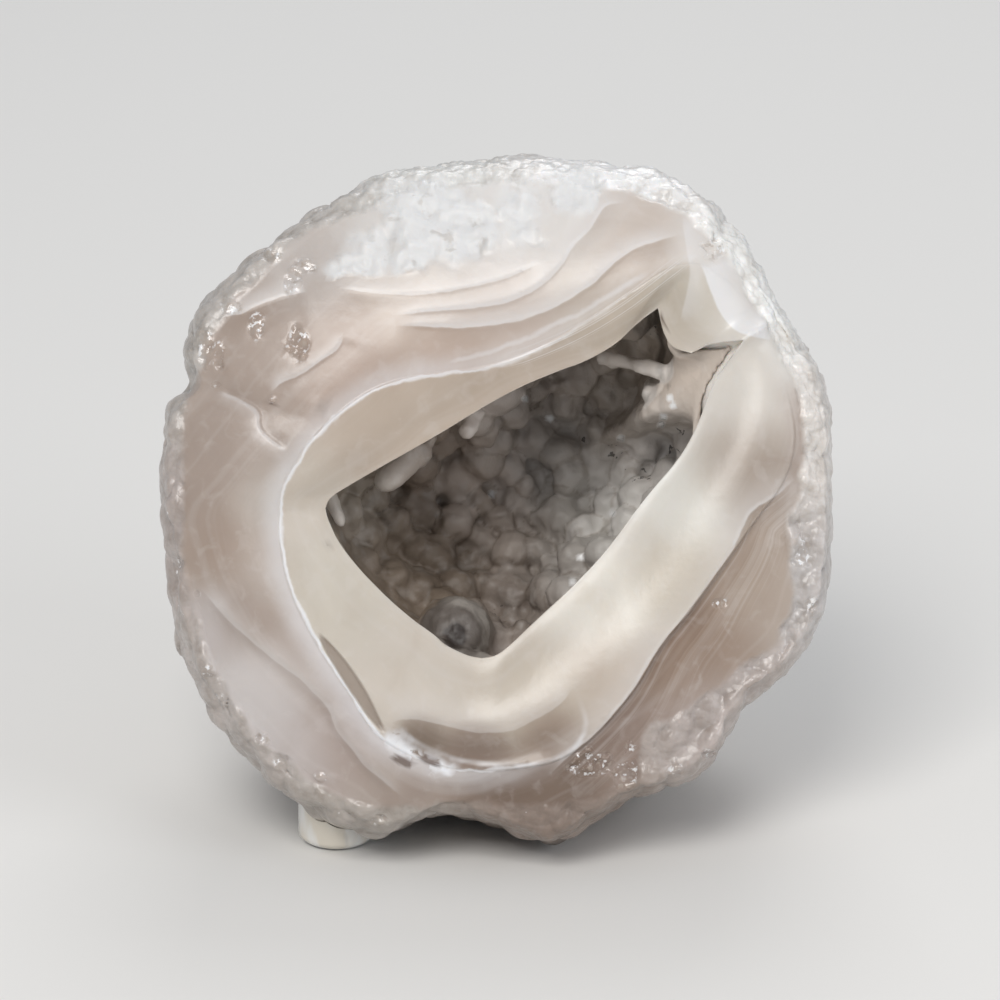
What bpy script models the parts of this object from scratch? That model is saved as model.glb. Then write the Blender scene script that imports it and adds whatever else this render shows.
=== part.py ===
# A broken chalcedony geode: one banded stone with a hollow in its face, the crust
# of crystals that lines the hollow, and the small peg that props the stone up.
# The lists below are millimetres on the broken face, x to the right and z up from
# its middle, and depth counts from the foremost part of the face into the stone.
# Finished meshes are in metres, and the stone's flat spot lies at the origin.

import math

import bmesh
import bpy
import numpy as np
from mathutils import Matrix, Vector, noise
from mathutils.bvhtree import BVHTree

MM = 0.001
FACE_TILT = math.radians(20.0)
FACE_HEIGHT = 51.0
FACE_FORWARD = 22.0
STONE_DEPTH = 60.0
HOLLOW_DEPTH = 45.0
MOUTH_CENTRE = (2.6, 0.5)
BACK_CENTRE = (0.0, -4.0)
SKIN_ALLOWANCE = 1.024

COLUMNS = 80
HOLLOW_RINGS = 8
INNER_FACE_RINGS = 6
OUTER_FACE_RINGS = 8
SKIN_RINGS = 11

# Outline of the stone seen from the front: angle in degrees, radius in mm.
STONE_OUTLINE = [
    (0, 43.8), (15, 45.0), (35, 44.5), (58, 47.7), (75, 46.0), (97, 44.7), (111, 45.3),
    (122, 44.4), (147, 46.6), (155, 46.1), (160, 43.4), (166, 45.4), (190, 44.8),
    (210, 47.0), (235, 48.3), (250, 47.6), (257, 43.6), (264, 42.4), (271, 44.0),
    (279, 46.1), (293, 43.3), (306, 44.8), (320, 42.3), (328, 44.3), (340, 45.2),
]

# Edge of the mouth, counter-clockwise from its top corner.
MOUTH_OUTLINE = [
    (20.8, 24.5), (15.9, 19.7), (7.9, 16.2), (1.3, 13.1), (-6.0, 8.5), (-14.6, 4.2),
    (-20.5, 1.2), (-22.9, 0.3), (-22.9, -2.4), (-21.2, -6.8), (-15.2, -13.6),
    (-7.9, -19.3), (-2.6, -21.7), (-0.4, -21.6), (2.6, -19.3), (9.9, -11.4),
    (18.5, -2.1), (25.2, 8.5), (28.5, 15.8), (32.4, 20.4), (26.4, 19.2), (22.6, 20.2),
]

# Its sharp corners, which always get a column of their own.
MOUTH_CORNERS = [(20.8, 24.5), (-22.9, 0.3), (-1.5, -21.7), (32.4, 20.4), (26.4, 19.2)]

# Line where the thick inner layer ends: a white vein at the left and a step at the right.
SEAM_OUTLINE = [
    (25.2, 31.8), (17.3, 26.0), (8.6, 20.7), (1.7, 17.6), (-7.0, 16.2), (-14.6, 15.1),
    (-21.4, 10.5), (-26.5, 4.8), (-29.1, -2.0), (-28.9, -6.0), (-27.0, -14.3),
    (-22.1, -23.0), (-16.7, -30.8), (-13.0, -34.0), (-4.0, -36.8), (5.4, -36.1),
    (11.1, -33.4), (16.9, -27.3), (21.3, -19.9), (26.7, -13.4), (31.5, -6.4),
    (35.5, -0.5), (38.8, 4.0), (39.2, 9.0), (37.6, 15.0), (35.6, 21.0), (32.0, 27.0),
]

# Ledges of the broken layers: the line, how far the stone steps back on its side
# towards the mouth, and the width over which it comes forward again.
LEDGES = [
    (
        [(24.0, 34.4), (18.1, 32.7), (13.4, 28.2), (7.9, 25.0), (0.5, 22.6), (-7.9, 22.0), (-13.9, 22.4)],
        1.5, 4.0,
    ),
    ([(16.5, 38.8), (10.2, 32.7), (6.4, 28.6), (0.5, 26.1), (-7.9, 24.4), (-14.7, 23.8)], 1.1, 3.0),
    ([(3.2, 31.2), (-1.7, 28.1), (-7.9, 26.5), (-13.9, 26.2), (-19.9, 27.4), (-26.5, 26.7)], 1.6, 3.5),
    ([(-13.9, 22.4), (-19.7, 21.7), (-23.8, 17.3), (-28.6, 15.0), (-31.9, 11.7)], 1.3, 4.5),
    ([(-31.9, 11.7), (-32.0, 8.7), (-27.4, 5.8)], 0.8, 3.0),
    (
        [(-29.8, -9.0), (-24.2, -18.0), (-18.9, -24.6), (-13.5, -31.9), (-4.8, -35.6), (4.0, -35.9)],
        1.0, 3.0,
    ),
]
LEDGE_EDGE_WIDTH = 0.5
LEDGE_END_SHARE = 0.12

# The layered stone falls away outside this line at the lower left.
LOWER_LEFT_STEP = [
    (-13.1, -40.1), (-17.6, -36.0), (-20.8, -32.6), (-23.4, -28.3), (-30.7, -21.4), (-36.7, -16.9),
    (-40.5, -12.5),
]
LOWER_LEFT_STEP_EDGE_WIDTH = 1.2
LOWER_LEFT_STEP_END_SHARE = 0.15
LOWER_LEFT_STEP_HEIGHT = 1.5
LOWER_LEFT_STEP_WIDTH = 6.0

# The smooth scoop below the mouth follows this line.
SCOOP_LINE = [(-15.0, -31.2), (-8.0, -33.4), (-2.0, -33.9), (4.0, -32.4), (9.8, -29.6)]
SCOOP_DEPTH = 1.8
SCOOP_HALF_WIDTH = 2.4
SCOOP_END_SHARE = 0.2

SEAM_STEP_RIGHT = 1.3
SEAM_STEP_LEFT = 0.35
SEAM_STEP_WIDTH = 0.7
SEAM_STEP_PEAK = (325.0, 38.0)
LEAST_INNER_WIDTH = 3.0
LEAST_OUTER_WIDTH = 2.0

# Depth of the face's outer edge: its least, then how much deeper it lies about an
# angle in degrees and how far that reaches on each side.
RIM_DEPTH = 4.5
RIM_DEPTH_TOP = (7.0, 100.0, 48.0)
RIM_DEPTH_LEFT = (1.5, 190.0, 50.0)
FACE_ROUNDING = 2.6
FACE_FADE_WIDTH = 2.5

LIP_DEPTH = 5.0
LIP_WIDTH = 7.5
LIP_ROUNDING = 1.6
LIP_FULL_FACE_WIDTH = 16.0
LIP_OUTWARD = 0.3
LIP_EDGE_THICKNESS = 1.6
HOLLOW_WIDEST_DEPTH = 19.0
HOLLOW_UNDERCUT = 2.5
HOLLOW_BEHIND_MOUTH = 0.6
HOLLOW_START = 0.8
HOLLOW_FRONT_SHARE = 0.3
HOLLOW_ROUNDING = 0.75
SMALLEST_RADIUS = 0.05
LEAST_WALL = 5.0

RIM_SHRINK = 0.04
RIM_ROUNDING = 2.2
RIM_TO_EQUATOR = 8.0
SKIN_FRONT_SHARE = 0.22
SKIN_ROUNDNESS = 2.65
BACK_RADIUS = 43.5
BACK_ROUND_BY = 0.6
SKIN_LUMP_HEIGHT = 1.3
SKIN_LUMP_SIZE = 11.0
SKIN_LUMP_PEAK = 0.35
SKIN_LUMP_FALL = 1.6
SKIN_LUMP_REACH = 0.9
SKIN_LUMPS_FROM = 0.9
SKIN_MIDDLE_SHARE = 0.4

WALL_GAP = 0.65
CRUST_GAP = 0.8
CRUST_THICKNESS = 1.3
CRUST_LUMP_HEIGHT = 3.0
CRUST_LUMP_SIZE = 9.0
CRUST_LUMP_FALL = 2.4
CRUST_STEP = 2
CRUST_COLUMNS = COLUMNS // CRUST_STEP
CRUST_RINGS = 9
CRUST_FRONT = 0.16
CRYSTAL_COUNT = 26
CRYSTAL_REACH = 0.72
CRYSTAL_SEED = 11
CRYSTAL_SCATTER = 9.0
CRYSTAL_LENGTHS = (4.5, 8.0)
CRYSTAL_HALF_WIDTHS = (2.4, 4.4)
CRYSTAL_BODY_SHARE = 0.78
CRYSTAL_TAPER = 0.9
CRYSTAL_TURN = 0.7
CRYSTAL_ROOTING = 0.6
CRYSTAL_GOAL_FORWARD = 6.0
CRYSTAL_SIDES = 6
FLATNESS = math.radians(1.0)

# The larger crystals: tip in mm as x, depth and z, a point towards the root, half width.
LARGE_CRYSTALS = [
    ((11.4, 14.0, 6.3), (13.0, 19.0, 15.0), 1.9),
    ((21.0, 14.0, 16.3), (14.0, 17.0, 19.0), 1.3),
    ((-20.6, 11.0, -4.2), (-22.6, 14.0, 1.0), 1.1),
    ((8.5, 15.0, -13.3), (3.0, 19.0, -17.0), 1.3),
    ((-5.2, 14.0, 7.2), (-6.5, 19.0, 12.0), 1.2),
    ((-10.0, 14.0, 5.4), (-12.0, 19.0, 10.0), 1.2),
    ((-13.0, 14.0, 1.8), (-18.0, 20.0, 4.5), 2.4),
    ((20.0, 16.0, 13.5), (21.0, 19.0, 20.0), 1.4),
]

PEG_CENTRE = (-22.2, -19.0)
PEG_RADIUS = 5.3
PEG_HEIGHT = 9.5
PEG_ROUNDING = 1.2
PEG_CLEARANCE = (-0.3, -0.3, -0.45)
PEG_SEGMENTS = 20
PEG_ROUNDING_SEGMENTS = 3


def clear_scene():
    for old in list(bpy.data.objects):
        bpy.data.objects.remove(old, do_unlink=True)


def make_material(name, colour, roughness, metallic=0.0):
    material = bpy.data.materials.new(name)
    material.use_nodes = True
    shader = material.node_tree.nodes["Principled BSDF"]
    shader.inputs["Base Color"].default_value = (*colour, 1.0)
    shader.inputs["Roughness"].default_value = roughness
    shader.inputs["Metallic"].default_value = metallic
    return material


def chalcedony_material():
    return make_material("chalcedony", (0.52, 0.43, 0.36), 0.35)


def crystal_material():
    return make_material("crystal_crust", (0.22, 0.18, 0.155), 0.3)


def peg_material():
    return make_material("cream_peg", (0.6, 0.52, 0.42), 0.25)


def end_fade(place, share):
    """Fades from 1 to 0 over a share of a line at each of its ends."""
    return smooth_step(place / share) * smooth_step((1.0 - place) / share)


def swell(angles, middle, reach):
    """1 at the middle angle and falling off over the reach, both in degrees."""
    away = np.angle(np.exp(1j * (angles - math.radians(middle)))) / math.radians(reach)
    return np.exp(-(away**2))


def smooth_step(value):
    t = np.clip(value, 0.0, 1.0)
    return t * t * (3.0 - 2.0 * t)


def outline_points(steps=360):
    """The stone's outline as points in mm, curved smoothly through its radii."""
    angles = np.array([float(a) for a, _ in STONE_OUTLINE])
    radii = np.array([r for _, r in STONE_OUTLINE])
    before = np.roll(radii, 1)
    after = np.roll(radii, -1)
    span_before = (angles - np.roll(angles, 1)) % 360.0
    span_after = (np.roll(angles, -1) - angles) % 360.0
    slopes = (after - before) / (span_before + span_after)
    points = []
    for wanted in np.arange(steps) * 360.0 / steps:
        left = int(np.searchsorted(angles, wanted, side="right")) - 1
        right = (left + 1) % len(angles)
        span = span_after[left]
        t = (wanted - angles[left]) / span
        radius = (
            (2 * t**3 - 3 * t**2 + 1) * radii[left]
            + (t**3 - 2 * t**2 + t) * span * slopes[left]
            + (3 * t**2 - 2 * t**3) * radii[right]
            + (t**3 - t**2) * span * slopes[right]
        )
        turn = math.radians(wanted)
        points.append((radius * math.cos(turn), radius * math.sin(turn)))
    return points


def ray_radius(outline, angles):
    """Distance from the mouth's centre to a closed outline along each angle."""
    start = np.array(outline) - np.array(MOUTH_CENTRE)
    step = np.roll(start, -1, axis=0) - start
    radii = np.zeros(len(angles))
    for index, angle in enumerate(angles):
        across = np.array((-math.sin(angle), math.cos(angle)))
        along = np.array((math.cos(angle), math.sin(angle)))
        offset = start @ across
        change = step @ across
        safe = np.where(np.abs(change) < 1e-9, 1e-9, change)
        part = -offset / safe
        reach = start @ along + part * (step @ along)
        hits = reach[(part >= -1e-9) & (part <= 1.0 + 1e-9) & (reach > 0.0)]
        radii[index] = hits.max()
    return radii


def line_distance(points, line):
    """Signed distance to an open line, positive on its left, and the place along it."""
    best = np.full(len(points), 1e9)
    side = np.ones(len(points))
    place = np.zeros(len(points))
    corners = np.array(line)
    steps = np.diff(corners, axis=0)
    lengths = np.linalg.norm(steps, axis=1)
    travelled = np.concatenate(([0.0], np.cumsum(lengths)))
    for index, step in enumerate(steps):
        away = points - corners[index]
        part = np.clip(away @ step / lengths[index] ** 2, 0.0, 1.0)
        gap = away - part[:, None] * step
        reach = np.linalg.norm(gap, axis=1)
        closer = reach < best
        turn = step[0] * away[:, 1] - step[1] * away[:, 0]
        best = np.where(closer, reach, best)
        side = np.where(closer, np.sign(turn), side)
        place = np.where(closer, (travelled[index] + part * lengths[index]) / travelled[-1], place)
    return best * side, place


def ledge_depth(points):
    """How far the ledges, the step and the scoop set the face back, in mm."""
    depth = np.zeros(len(points))
    for line, height, width in LEDGES:
        distance, place = line_distance(points, line)
        below = smooth_step(distance / LEDGE_EDGE_WIDTH + 0.5) * np.exp(-np.maximum(distance, 0.0) / width)
        depth += height * end_fade(place, LEDGE_END_SHARE) * below
    distance, place = line_distance(points, LOWER_LEFT_STEP)
    edge = smooth_step(distance / LOWER_LEFT_STEP_EDGE_WIDTH + 0.5)
    fall = edge * np.exp(-np.maximum(distance, 0.0) / LOWER_LEFT_STEP_WIDTH)
    depth += LOWER_LEFT_STEP_HEIGHT * end_fade(place, LOWER_LEFT_STEP_END_SHARE) * fall
    distance, place = line_distance(points, SCOOP_LINE)
    hollowed = np.exp(-((distance / SCOOP_HALF_WIDTH) ** 2))
    depth += SCOOP_DEPTH * end_fade(place, SCOOP_END_SHARE) * hollowed
    return depth


def rim_depth(angles):
    """Depth of the face's outer edge: the face leans back most at the top."""
    depth = np.full(len(angles), RIM_DEPTH)
    for deeper, middle, reach in (RIM_DEPTH_TOP, RIM_DEPTH_LEFT):
        depth += deeper * swell(angles, middle, reach)
    return depth


def seam_step(angles):
    """Height of the step at the seam, largest at the lower right."""
    return SEAM_STEP_LEFT + (SEAM_STEP_RIGHT - SEAM_STEP_LEFT) * swell(angles, *SEAM_STEP_PEAK)


class Stone:
    """Radii and depths of the stone along each column around the mouth's centre."""

    def __init__(self, columns):
        self.angles = np.arange(columns) * 2.0 * math.pi / columns
        for x, z in MOUTH_CORNERS:
            corner = math.atan2(z - MOUTH_CENTRE[1], x - MOUTH_CENTRE[0]) % (2.0 * math.pi)
            self.angles[int(round(corner / (2.0 * math.pi) * columns)) % columns] = corner
        self.directions = np.stack((np.cos(self.angles), np.sin(self.angles)), axis=1)
        self.mouth = ray_radius(MOUTH_OUTLINE, self.angles)
        self.seam = ray_radius(SEAM_OUTLINE, self.angles)
        outline = [(SKIN_ALLOWANCE * x, SKIN_ALLOWANCE * z) for x, z in outline_points()]
        self.outer = ray_radius(outline, self.angles)
        self.rim = self.outer * (1.0 - RIM_SHRINK)
        self.rim_depth = rim_depth(self.angles)
        self.seam = np.clip(self.seam, self.mouth + LEAST_INNER_WIDTH, self.rim - LEAST_OUTER_WIDTH)
        self.lip_depth = LIP_DEPTH * smooth_step((self.rim - self.mouth) / LIP_FULL_FACE_WIDTH)
        self.hollow = self.hollow_radius()

    def hollow_radius(self):
        """Radius of the hollow where it is widest, rounder than the mouth."""
        near = len(self.angles) // 28
        widest = np.max([np.roll(self.mouth, shift) for shift in range(-near, near + 1)], axis=0)
        reach = len(self.angles) // 14
        spread = np.mean([np.roll(widest, shift) for shift in range(-reach, reach + 1)], axis=0)
        wide = np.maximum(spread, widest) + HOLLOW_UNDERCUT
        wide = np.mean([np.roll(wide, shift) for shift in range(-near, near + 1)], axis=0)
        return np.maximum(np.minimum(wide, self.outer - LEAST_WALL), self.mouth + HOLLOW_BEHIND_MOUTH)

    def keep_every(self, step):
        """The same stone with fewer columns."""
        for name, values in list(vars(self).items()):
            setattr(self, name, values[::step])
        return self

    def flat_points(self, radii):
        return np.array(MOUTH_CENTRE) + radii[:, None] * self.directions

    def face_depth(self, radii):
        """Depth of the broken face at a radius on each column."""
        points = self.flat_points(radii)
        from_mouth = radii - self.mouth
        width = self.rim - self.mouth
        lip = self.lip_depth * np.exp(-((from_mouth / LIP_WIDTH) ** LIP_ROUNDING))
        slope = self.rim_depth * np.clip(from_mouth / width, 0.0, 1.0) ** FACE_ROUNDING
        step = seam_step(self.angles) * smooth_step((radii - self.seam) / SEAM_STEP_WIDTH)
        fade = smooth_step(from_mouth / FACE_FADE_WIDTH) * smooth_step((self.rim - radii) / FACE_FADE_WIDTH)
        return lip + slope + fade * (step + ledge_depth(points))

    def face_ring(self, radii):
        points = self.flat_points(radii)
        return np.column_stack((points[:, 0], self.face_depth(radii), points[:, 1]))

    def lip_ring(self, thickness, outward):
        """A ring behind the mouth's edge."""
        radii = self.mouth + outward
        points = self.flat_points(radii)
        return np.column_stack((points[:, 0], self.face_depth(self.mouth) + thickness, points[:, 1]))

    def hollow_ring(self, part, inset=0.0):
        """A ring of the hollow's wall: part 0 is behind the lip and 1 is the bottom."""
        start = self.face_depth(self.mouth) + LIP_EDGE_THICKNESS + HOLLOW_START
        if part < HOLLOW_FRONT_SHARE:
            t = part / HOLLOW_FRONT_SHARE
            depth = start + (HOLLOW_WIDEST_DEPTH - start) * t
            near = self.mouth + HOLLOW_BEHIND_MOUTH
            radii = near + (self.hollow - near) * math.sin(t * math.pi / 2.0)
        else:
            t = (part - HOLLOW_FRONT_SHARE) / (1.0 - HOLLOW_FRONT_SHARE) * math.pi / 2.0
            depth = HOLLOW_WIDEST_DEPTH + (HOLLOW_DEPTH - inset - HOLLOW_WIDEST_DEPTH) * math.sin(t)
            depth = np.full(len(self.angles), depth)
            radii = self.hollow * math.cos(t) ** HOLLOW_ROUNDING
        points = self.flat_points(np.maximum(radii - inset, SMALLEST_RADIUS))
        return np.column_stack((points[:, 0], depth, points[:, 1]))

    def skin_ring(self, part):
        """A ring of the outer skin: part 0 is the rim, 1 is the middle of the back."""
        equator = self.rim_depth + RIM_TO_EQUATOR
        if part < SKIN_FRONT_SHARE:
            t = part / SKIN_FRONT_SHARE
            depth = self.rim_depth + RIM_TO_EQUATOR * t
            radii = self.outer * (1.0 - RIM_SHRINK * (1.0 - t) ** RIM_ROUNDING)
            centre_shift = 0.0
        else:
            turn = (part - SKIN_FRONT_SHARE) / (1.0 - SKIN_FRONT_SHARE) * math.pi / 2.0
            bulge = math.sin(turn) ** (2.0 / SKIN_ROUNDNESS)
            depth = equator + (STONE_DEPTH - equator) * bulge
            rounder = smooth_step(bulge / BACK_ROUND_BY)
            radii = self.outer + (BACK_RADIUS - self.outer) * rounder
            radii = radii * math.cos(turn) ** (2.0 / SKIN_ROUNDNESS)
            centre_shift = bulge
        centre = np.array(MOUTH_CENTRE) * (1.0 - centre_shift) + np.array(BACK_CENTRE) * centre_shift
        points = centre + radii[:, None] * self.directions
        ring = np.column_stack((points[:, 0], depth, points[:, 1]))
        return add_skin_lumps(ring, smooth_step(part / SKIN_FRONT_SHARE - SKIN_LUMPS_FROM))


def add_skin_lumps(ring, strength):
    """Pushes the skin in and out in rounded lumps."""
    middle = np.array((0.0, STONE_DEPTH * SKIN_MIDDLE_SHARE, 0.0))
    out = ring - middle
    out /= np.linalg.norm(out, axis=1)[:, None]
    lumps = np.array([lump_height(point) for point in ring])
    return ring + out * (SKIN_LUMP_HEIGHT * strength * lumps)[:, None]


def lump_height(point):
    distances, _ = noise.voronoi(Vector(point) / SKIN_LUMP_SIZE)
    return SKIN_LUMP_PEAK - SKIN_LUMP_FALL * min(distances[0], SKIN_LUMP_REACH) ** 2


def stone_rings(stone):
    """All rings from the hollow's bottom over the lip and the face to the back."""
    rings = []
    for index in range(HOLLOW_RINGS):
        rings.append(stone.hollow_ring(1.0 - (index + 1.0) / HOLLOW_RINGS))
    rings.append(stone.lip_ring(LIP_EDGE_THICKNESS, LIP_OUTWARD))
    for index in range(INNER_FACE_RINGS):
        part = index / (INNER_FACE_RINGS - 1.0)
        rings.append(stone.face_ring(stone.mouth + (stone.seam - stone.mouth) * part))
    for index in range(OUTER_FACE_RINGS):
        part = index / (OUTER_FACE_RINGS - 1.0)
        start = stone.seam + SEAM_STEP_WIDTH
        rings.append(stone.face_ring(start + (stone.rim - start) * part))
    for index in range(1, SKIN_RINGS):
        rings.append(stone.skin_ring(index / SKIN_RINGS))
    return rings


def shape_sphere(rings, columns, first_pole, last_pole):
    """A sphere whose rings are moved to the given rings, from its top pole down."""
    shape = bmesh.new()
    bmesh.ops.create_uvsphere(shape, u_segments=columns, v_segments=len(rings) + 1, radius=1.0)
    for vertex in shape.verts:
        down = math.acos(max(-1.0, min(1.0, vertex.co.z))) / math.pi * (len(rings) + 1)
        ring = round(down)
        if ring == 0:
            place = first_pole
        elif ring == len(rings) + 1:
            place = last_pole
        else:
            turn = math.atan2(vertex.co.y, vertex.co.x) / (2.0 * math.pi) * columns
            place = rings[ring - 1][round(turn) % columns]
        vertex.co = Vector(place) * MM
    if shape.calc_volume(signed=True) < 0.0:
        bmesh.ops.reverse_faces(shape, faces=shape.faces)
    return shape


def lean_back():
    """Turns the face up and back, and sets the stone at its height."""
    turn = Matrix.Rotation(-FACE_TILT, 4, "X")
    shift = Matrix.Translation((0.0, -FACE_FORWARD * MM, FACE_HEIGHT * MM))
    return shift @ turn


def finish_object(name, shape, material):
    bmesh.ops.triangulate(shape, faces=shape.faces)
    mesh = bpy.data.meshes.new(name)
    shape.to_mesh(mesh)
    shape.free()
    mesh.materials.append(material)
    made = bpy.data.objects.new(name, mesh)
    bpy.context.collection.objects.link(made)
    return made


def make_stone():
    """The stone in one piece, cut flat where it rests."""
    stone = Stone(COLUMNS)
    rings = stone_rings(stone)
    first_pole = (MOUTH_CENTRE[0], HOLLOW_DEPTH, MOUTH_CENTRE[1])
    last_pole = (BACK_CENTRE[0], STONE_DEPTH, BACK_CENTRE[1])
    shape = shape_sphere(rings, COLUMNS, first_pole, last_pole)
    bmesh.ops.transform(shape, matrix=lean_back(), verts=shape.verts)
    cut = bmesh.ops.bisect_plane(
        shape,
        geom=shape.verts[:] + shape.edges[:] + shape.faces[:],
        dist=0.00001,
        plane_co=(0.0, 0.0, 0.0),
        plane_no=(0.0, 0.0, -1.0),
        clear_outer=True,
    )
    edges = [item for item in cut["geom_cut"] if isinstance(item, bmesh.types.BMEdge)]
    bmesh.ops.holes_fill(shape, edges=edges, sides=0)
    return finish_object("chalcedony_stone", shape, chalcedony_material())


def swell_inward(ring):
    """Raises rounded lumps on the inside of the crust."""
    middle = np.array((MOUTH_CENTRE[0], HOLLOW_WIDEST_DEPTH, MOUTH_CENTRE[1]))
    way = middle - ring
    way /= np.linalg.norm(way, axis=1)[:, None]
    heights = []
    for point in ring:
        distances, _ = noise.voronoi(Vector(point) / CRUST_LUMP_SIZE)
        heights.append(max(0.0, 1.0 - CRUST_LUMP_FALL * distances[0] ** 2))
    return ring + way * (CRUST_LUMP_HEIGHT * np.array(heights))[:, None]


def make_bowl():
    """A thin bowl that follows the hollow's wall, still upright, as one closed body."""
    stone = Stone(COLUMNS).keep_every(CRUST_STEP)
    outside = []
    inside = []
    for index in range(1, CRUST_RINGS + 1):
        part = 1.0 - (1.0 - CRUST_FRONT) * index / CRUST_RINGS
        outside.append(stone.hollow_ring(part, CRUST_GAP))
        inside.append(swell_inward(stone.hollow_ring(part, CRUST_GAP + CRUST_THICKNESS)))
    back = (MOUTH_CENTRE[0], HOLLOW_DEPTH - CRUST_GAP, MOUTH_CENTRE[1])
    front = (MOUTH_CENTRE[0], HOLLOW_DEPTH - CRUST_GAP - CRUST_THICKNESS, MOUTH_CENTRE[1])
    return shape_sphere(inside + outside[::-1], CRUST_COLUMNS, front, back)


def make_hollow_space():
    """The room inside the hollow's wall, which no crystal may pass."""
    stone = Stone(COLUMNS).keep_every(CRUST_STEP)
    rings = []
    for index in range(1, CRUST_RINGS + 1):
        rings.append(stone.hollow_ring(1.0 - index / CRUST_RINGS, WALL_GAP))
    back = (MOUTH_CENTRE[0], HOLLOW_DEPTH - WALL_GAP, MOUTH_CENTRE[1])
    front = (MOUTH_CENTRE[0], 0.0, MOUTH_CENTRE[1])
    return shape_sphere(rings[::-1], CRUST_COLUMNS, front, back)


def make_crystal(root, tip, half_width, twist):
    """A six-sided crystal from root to tip, with a pointed end."""
    shape = bmesh.new()
    length = (tip - root).length
    body = length * CRYSTAL_BODY_SHARE
    bmesh.ops.create_cone(
        shape, cap_ends=True, segments=CRYSTAL_SIDES,
        radius1=half_width, radius2=half_width * CRYSTAL_TAPER, depth=body,
    )
    top = max(shape.faces, key=lambda face: face.calc_center_median().z)
    peak = bmesh.ops.poke(shape, faces=[top])["verts"][0]
    peak.co.z += length - body
    bmesh.ops.translate(shape, vec=(0.0, 0.0, body / 2.0), verts=shape.verts)
    aim = (tip - root).to_track_quat("Z", "Y").to_matrix().to_4x4()
    place = Matrix.Translation(root) @ aim @ Matrix.Rotation(twist, 4, "Z")
    bmesh.ops.transform(shape, matrix=Matrix.Scale(MM, 4) @ place, verts=shape.verts)
    return shape


def combine(target, shape, operation):
    """Joins a closed shape to an object, or cuts the object to the shape."""
    cutter = finish_object("other_shape", shape, target.data.materials[0])
    change = target.modifiers.new("combine", "BOOLEAN")
    change.operation = operation
    change.solver = "EXACT"
    change.object = cutter
    evaluated = target.evaluated_get(bpy.context.evaluated_depsgraph_get())
    merged = bpy.data.meshes.new_from_object(evaluated)
    target.modifiers.remove(change)
    old = target.data
    target.data = merged
    bpy.data.meshes.remove(old)
    bpy.data.objects.remove(cutter, do_unlink=True)


def linked_faces(shape):
    """Groups of faces that hang together."""
    left = set(shape.faces)
    groups = []
    while left:
        group = set()
        waiting = [left.pop()]
        while waiting:
            face = waiting.pop()
            group.add(face)
            for edge in face.edges:
                for other in edge.link_faces:
                    if other in left:
                        left.remove(other)
                        waiting.append(other)
        groups.append(group)
    return groups


def fill_sealed_gaps(made):
    """Fills the gaps that crystals close off between them."""
    shape = bmesh.new()
    shape.from_mesh(made.data)
    groups = sorted(linked_faces(shape), key=len)
    for group in groups[:-1]:
        bmesh.ops.delete(shape, geom=list(group), context="FACES")
    bmesh.ops.dissolve_limit(shape, angle_limit=FLATNESS, verts=shape.verts, edges=shape.edges)
    bmesh.ops.triangulate(shape, faces=shape.faces)
    shape.to_mesh(made.data)
    shape.free()


def wall_crystals():
    """Tips, points towards the root and half widths of the crystals over the wall."""
    picker = np.random.default_rng(CRYSTAL_SEED)
    stone = Stone(COLUMNS).keep_every(CRUST_STEP)
    turn_share = (math.sqrt(5.0) - 1.0) / 2.0
    found = []
    for index in range(CRYSTAL_COUNT):
        part = 1.0 - CRYSTAL_REACH * math.sqrt((index + 0.5) / CRYSTAL_COUNT)
        column = int(index * turn_share * CRUST_COLUMNS + picker.uniform(-0.5, 0.5)) % CRUST_COLUMNS
        root = Vector(stone.hollow_ring(part, CRUST_GAP + CRUST_THICKNESS)[column])
        goal = Vector((MOUTH_CENTRE[0], HOLLOW_WIDEST_DEPTH - CRYSTAL_GOAL_FORWARD, MOUTH_CENTRE[1]))
        goal += Vector(picker.normal(0.0, CRYSTAL_SCATTER, 3))
        way = (goal - root).normalized()
        tip = root + way * picker.uniform(*CRYSTAL_LENGTHS)
        found.append((tip, root, picker.uniform(*CRYSTAL_HALF_WIDTHS)))
    return found


def make_crust():
    """The bowl with its crystals, joined in one body and leaned back with the stone."""
    bowl = make_bowl()
    wall = BVHTree.FromBMesh(bowl)
    crust = finish_object("crystal_crust", bowl, crystal_material())
    for index, (tip, towards, half_width) in enumerate(LARGE_CRYSTALS + wall_crystals()):
        way = (Vector(towards) - Vector(tip)).normalized()
        hit, _, _, _ = wall.ray_cast(Vector(tip) * MM, way)
        root = hit / MM + way * CRYSTAL_ROOTING
        combine(crust, make_crystal(root, Vector(tip), half_width, index * CRYSTAL_TURN), "UNION")
    combine(crust, make_hollow_space(), "INTERSECT")
    fill_sealed_gaps(crust)
    crust.data.transform(lean_back())
    return crust


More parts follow.
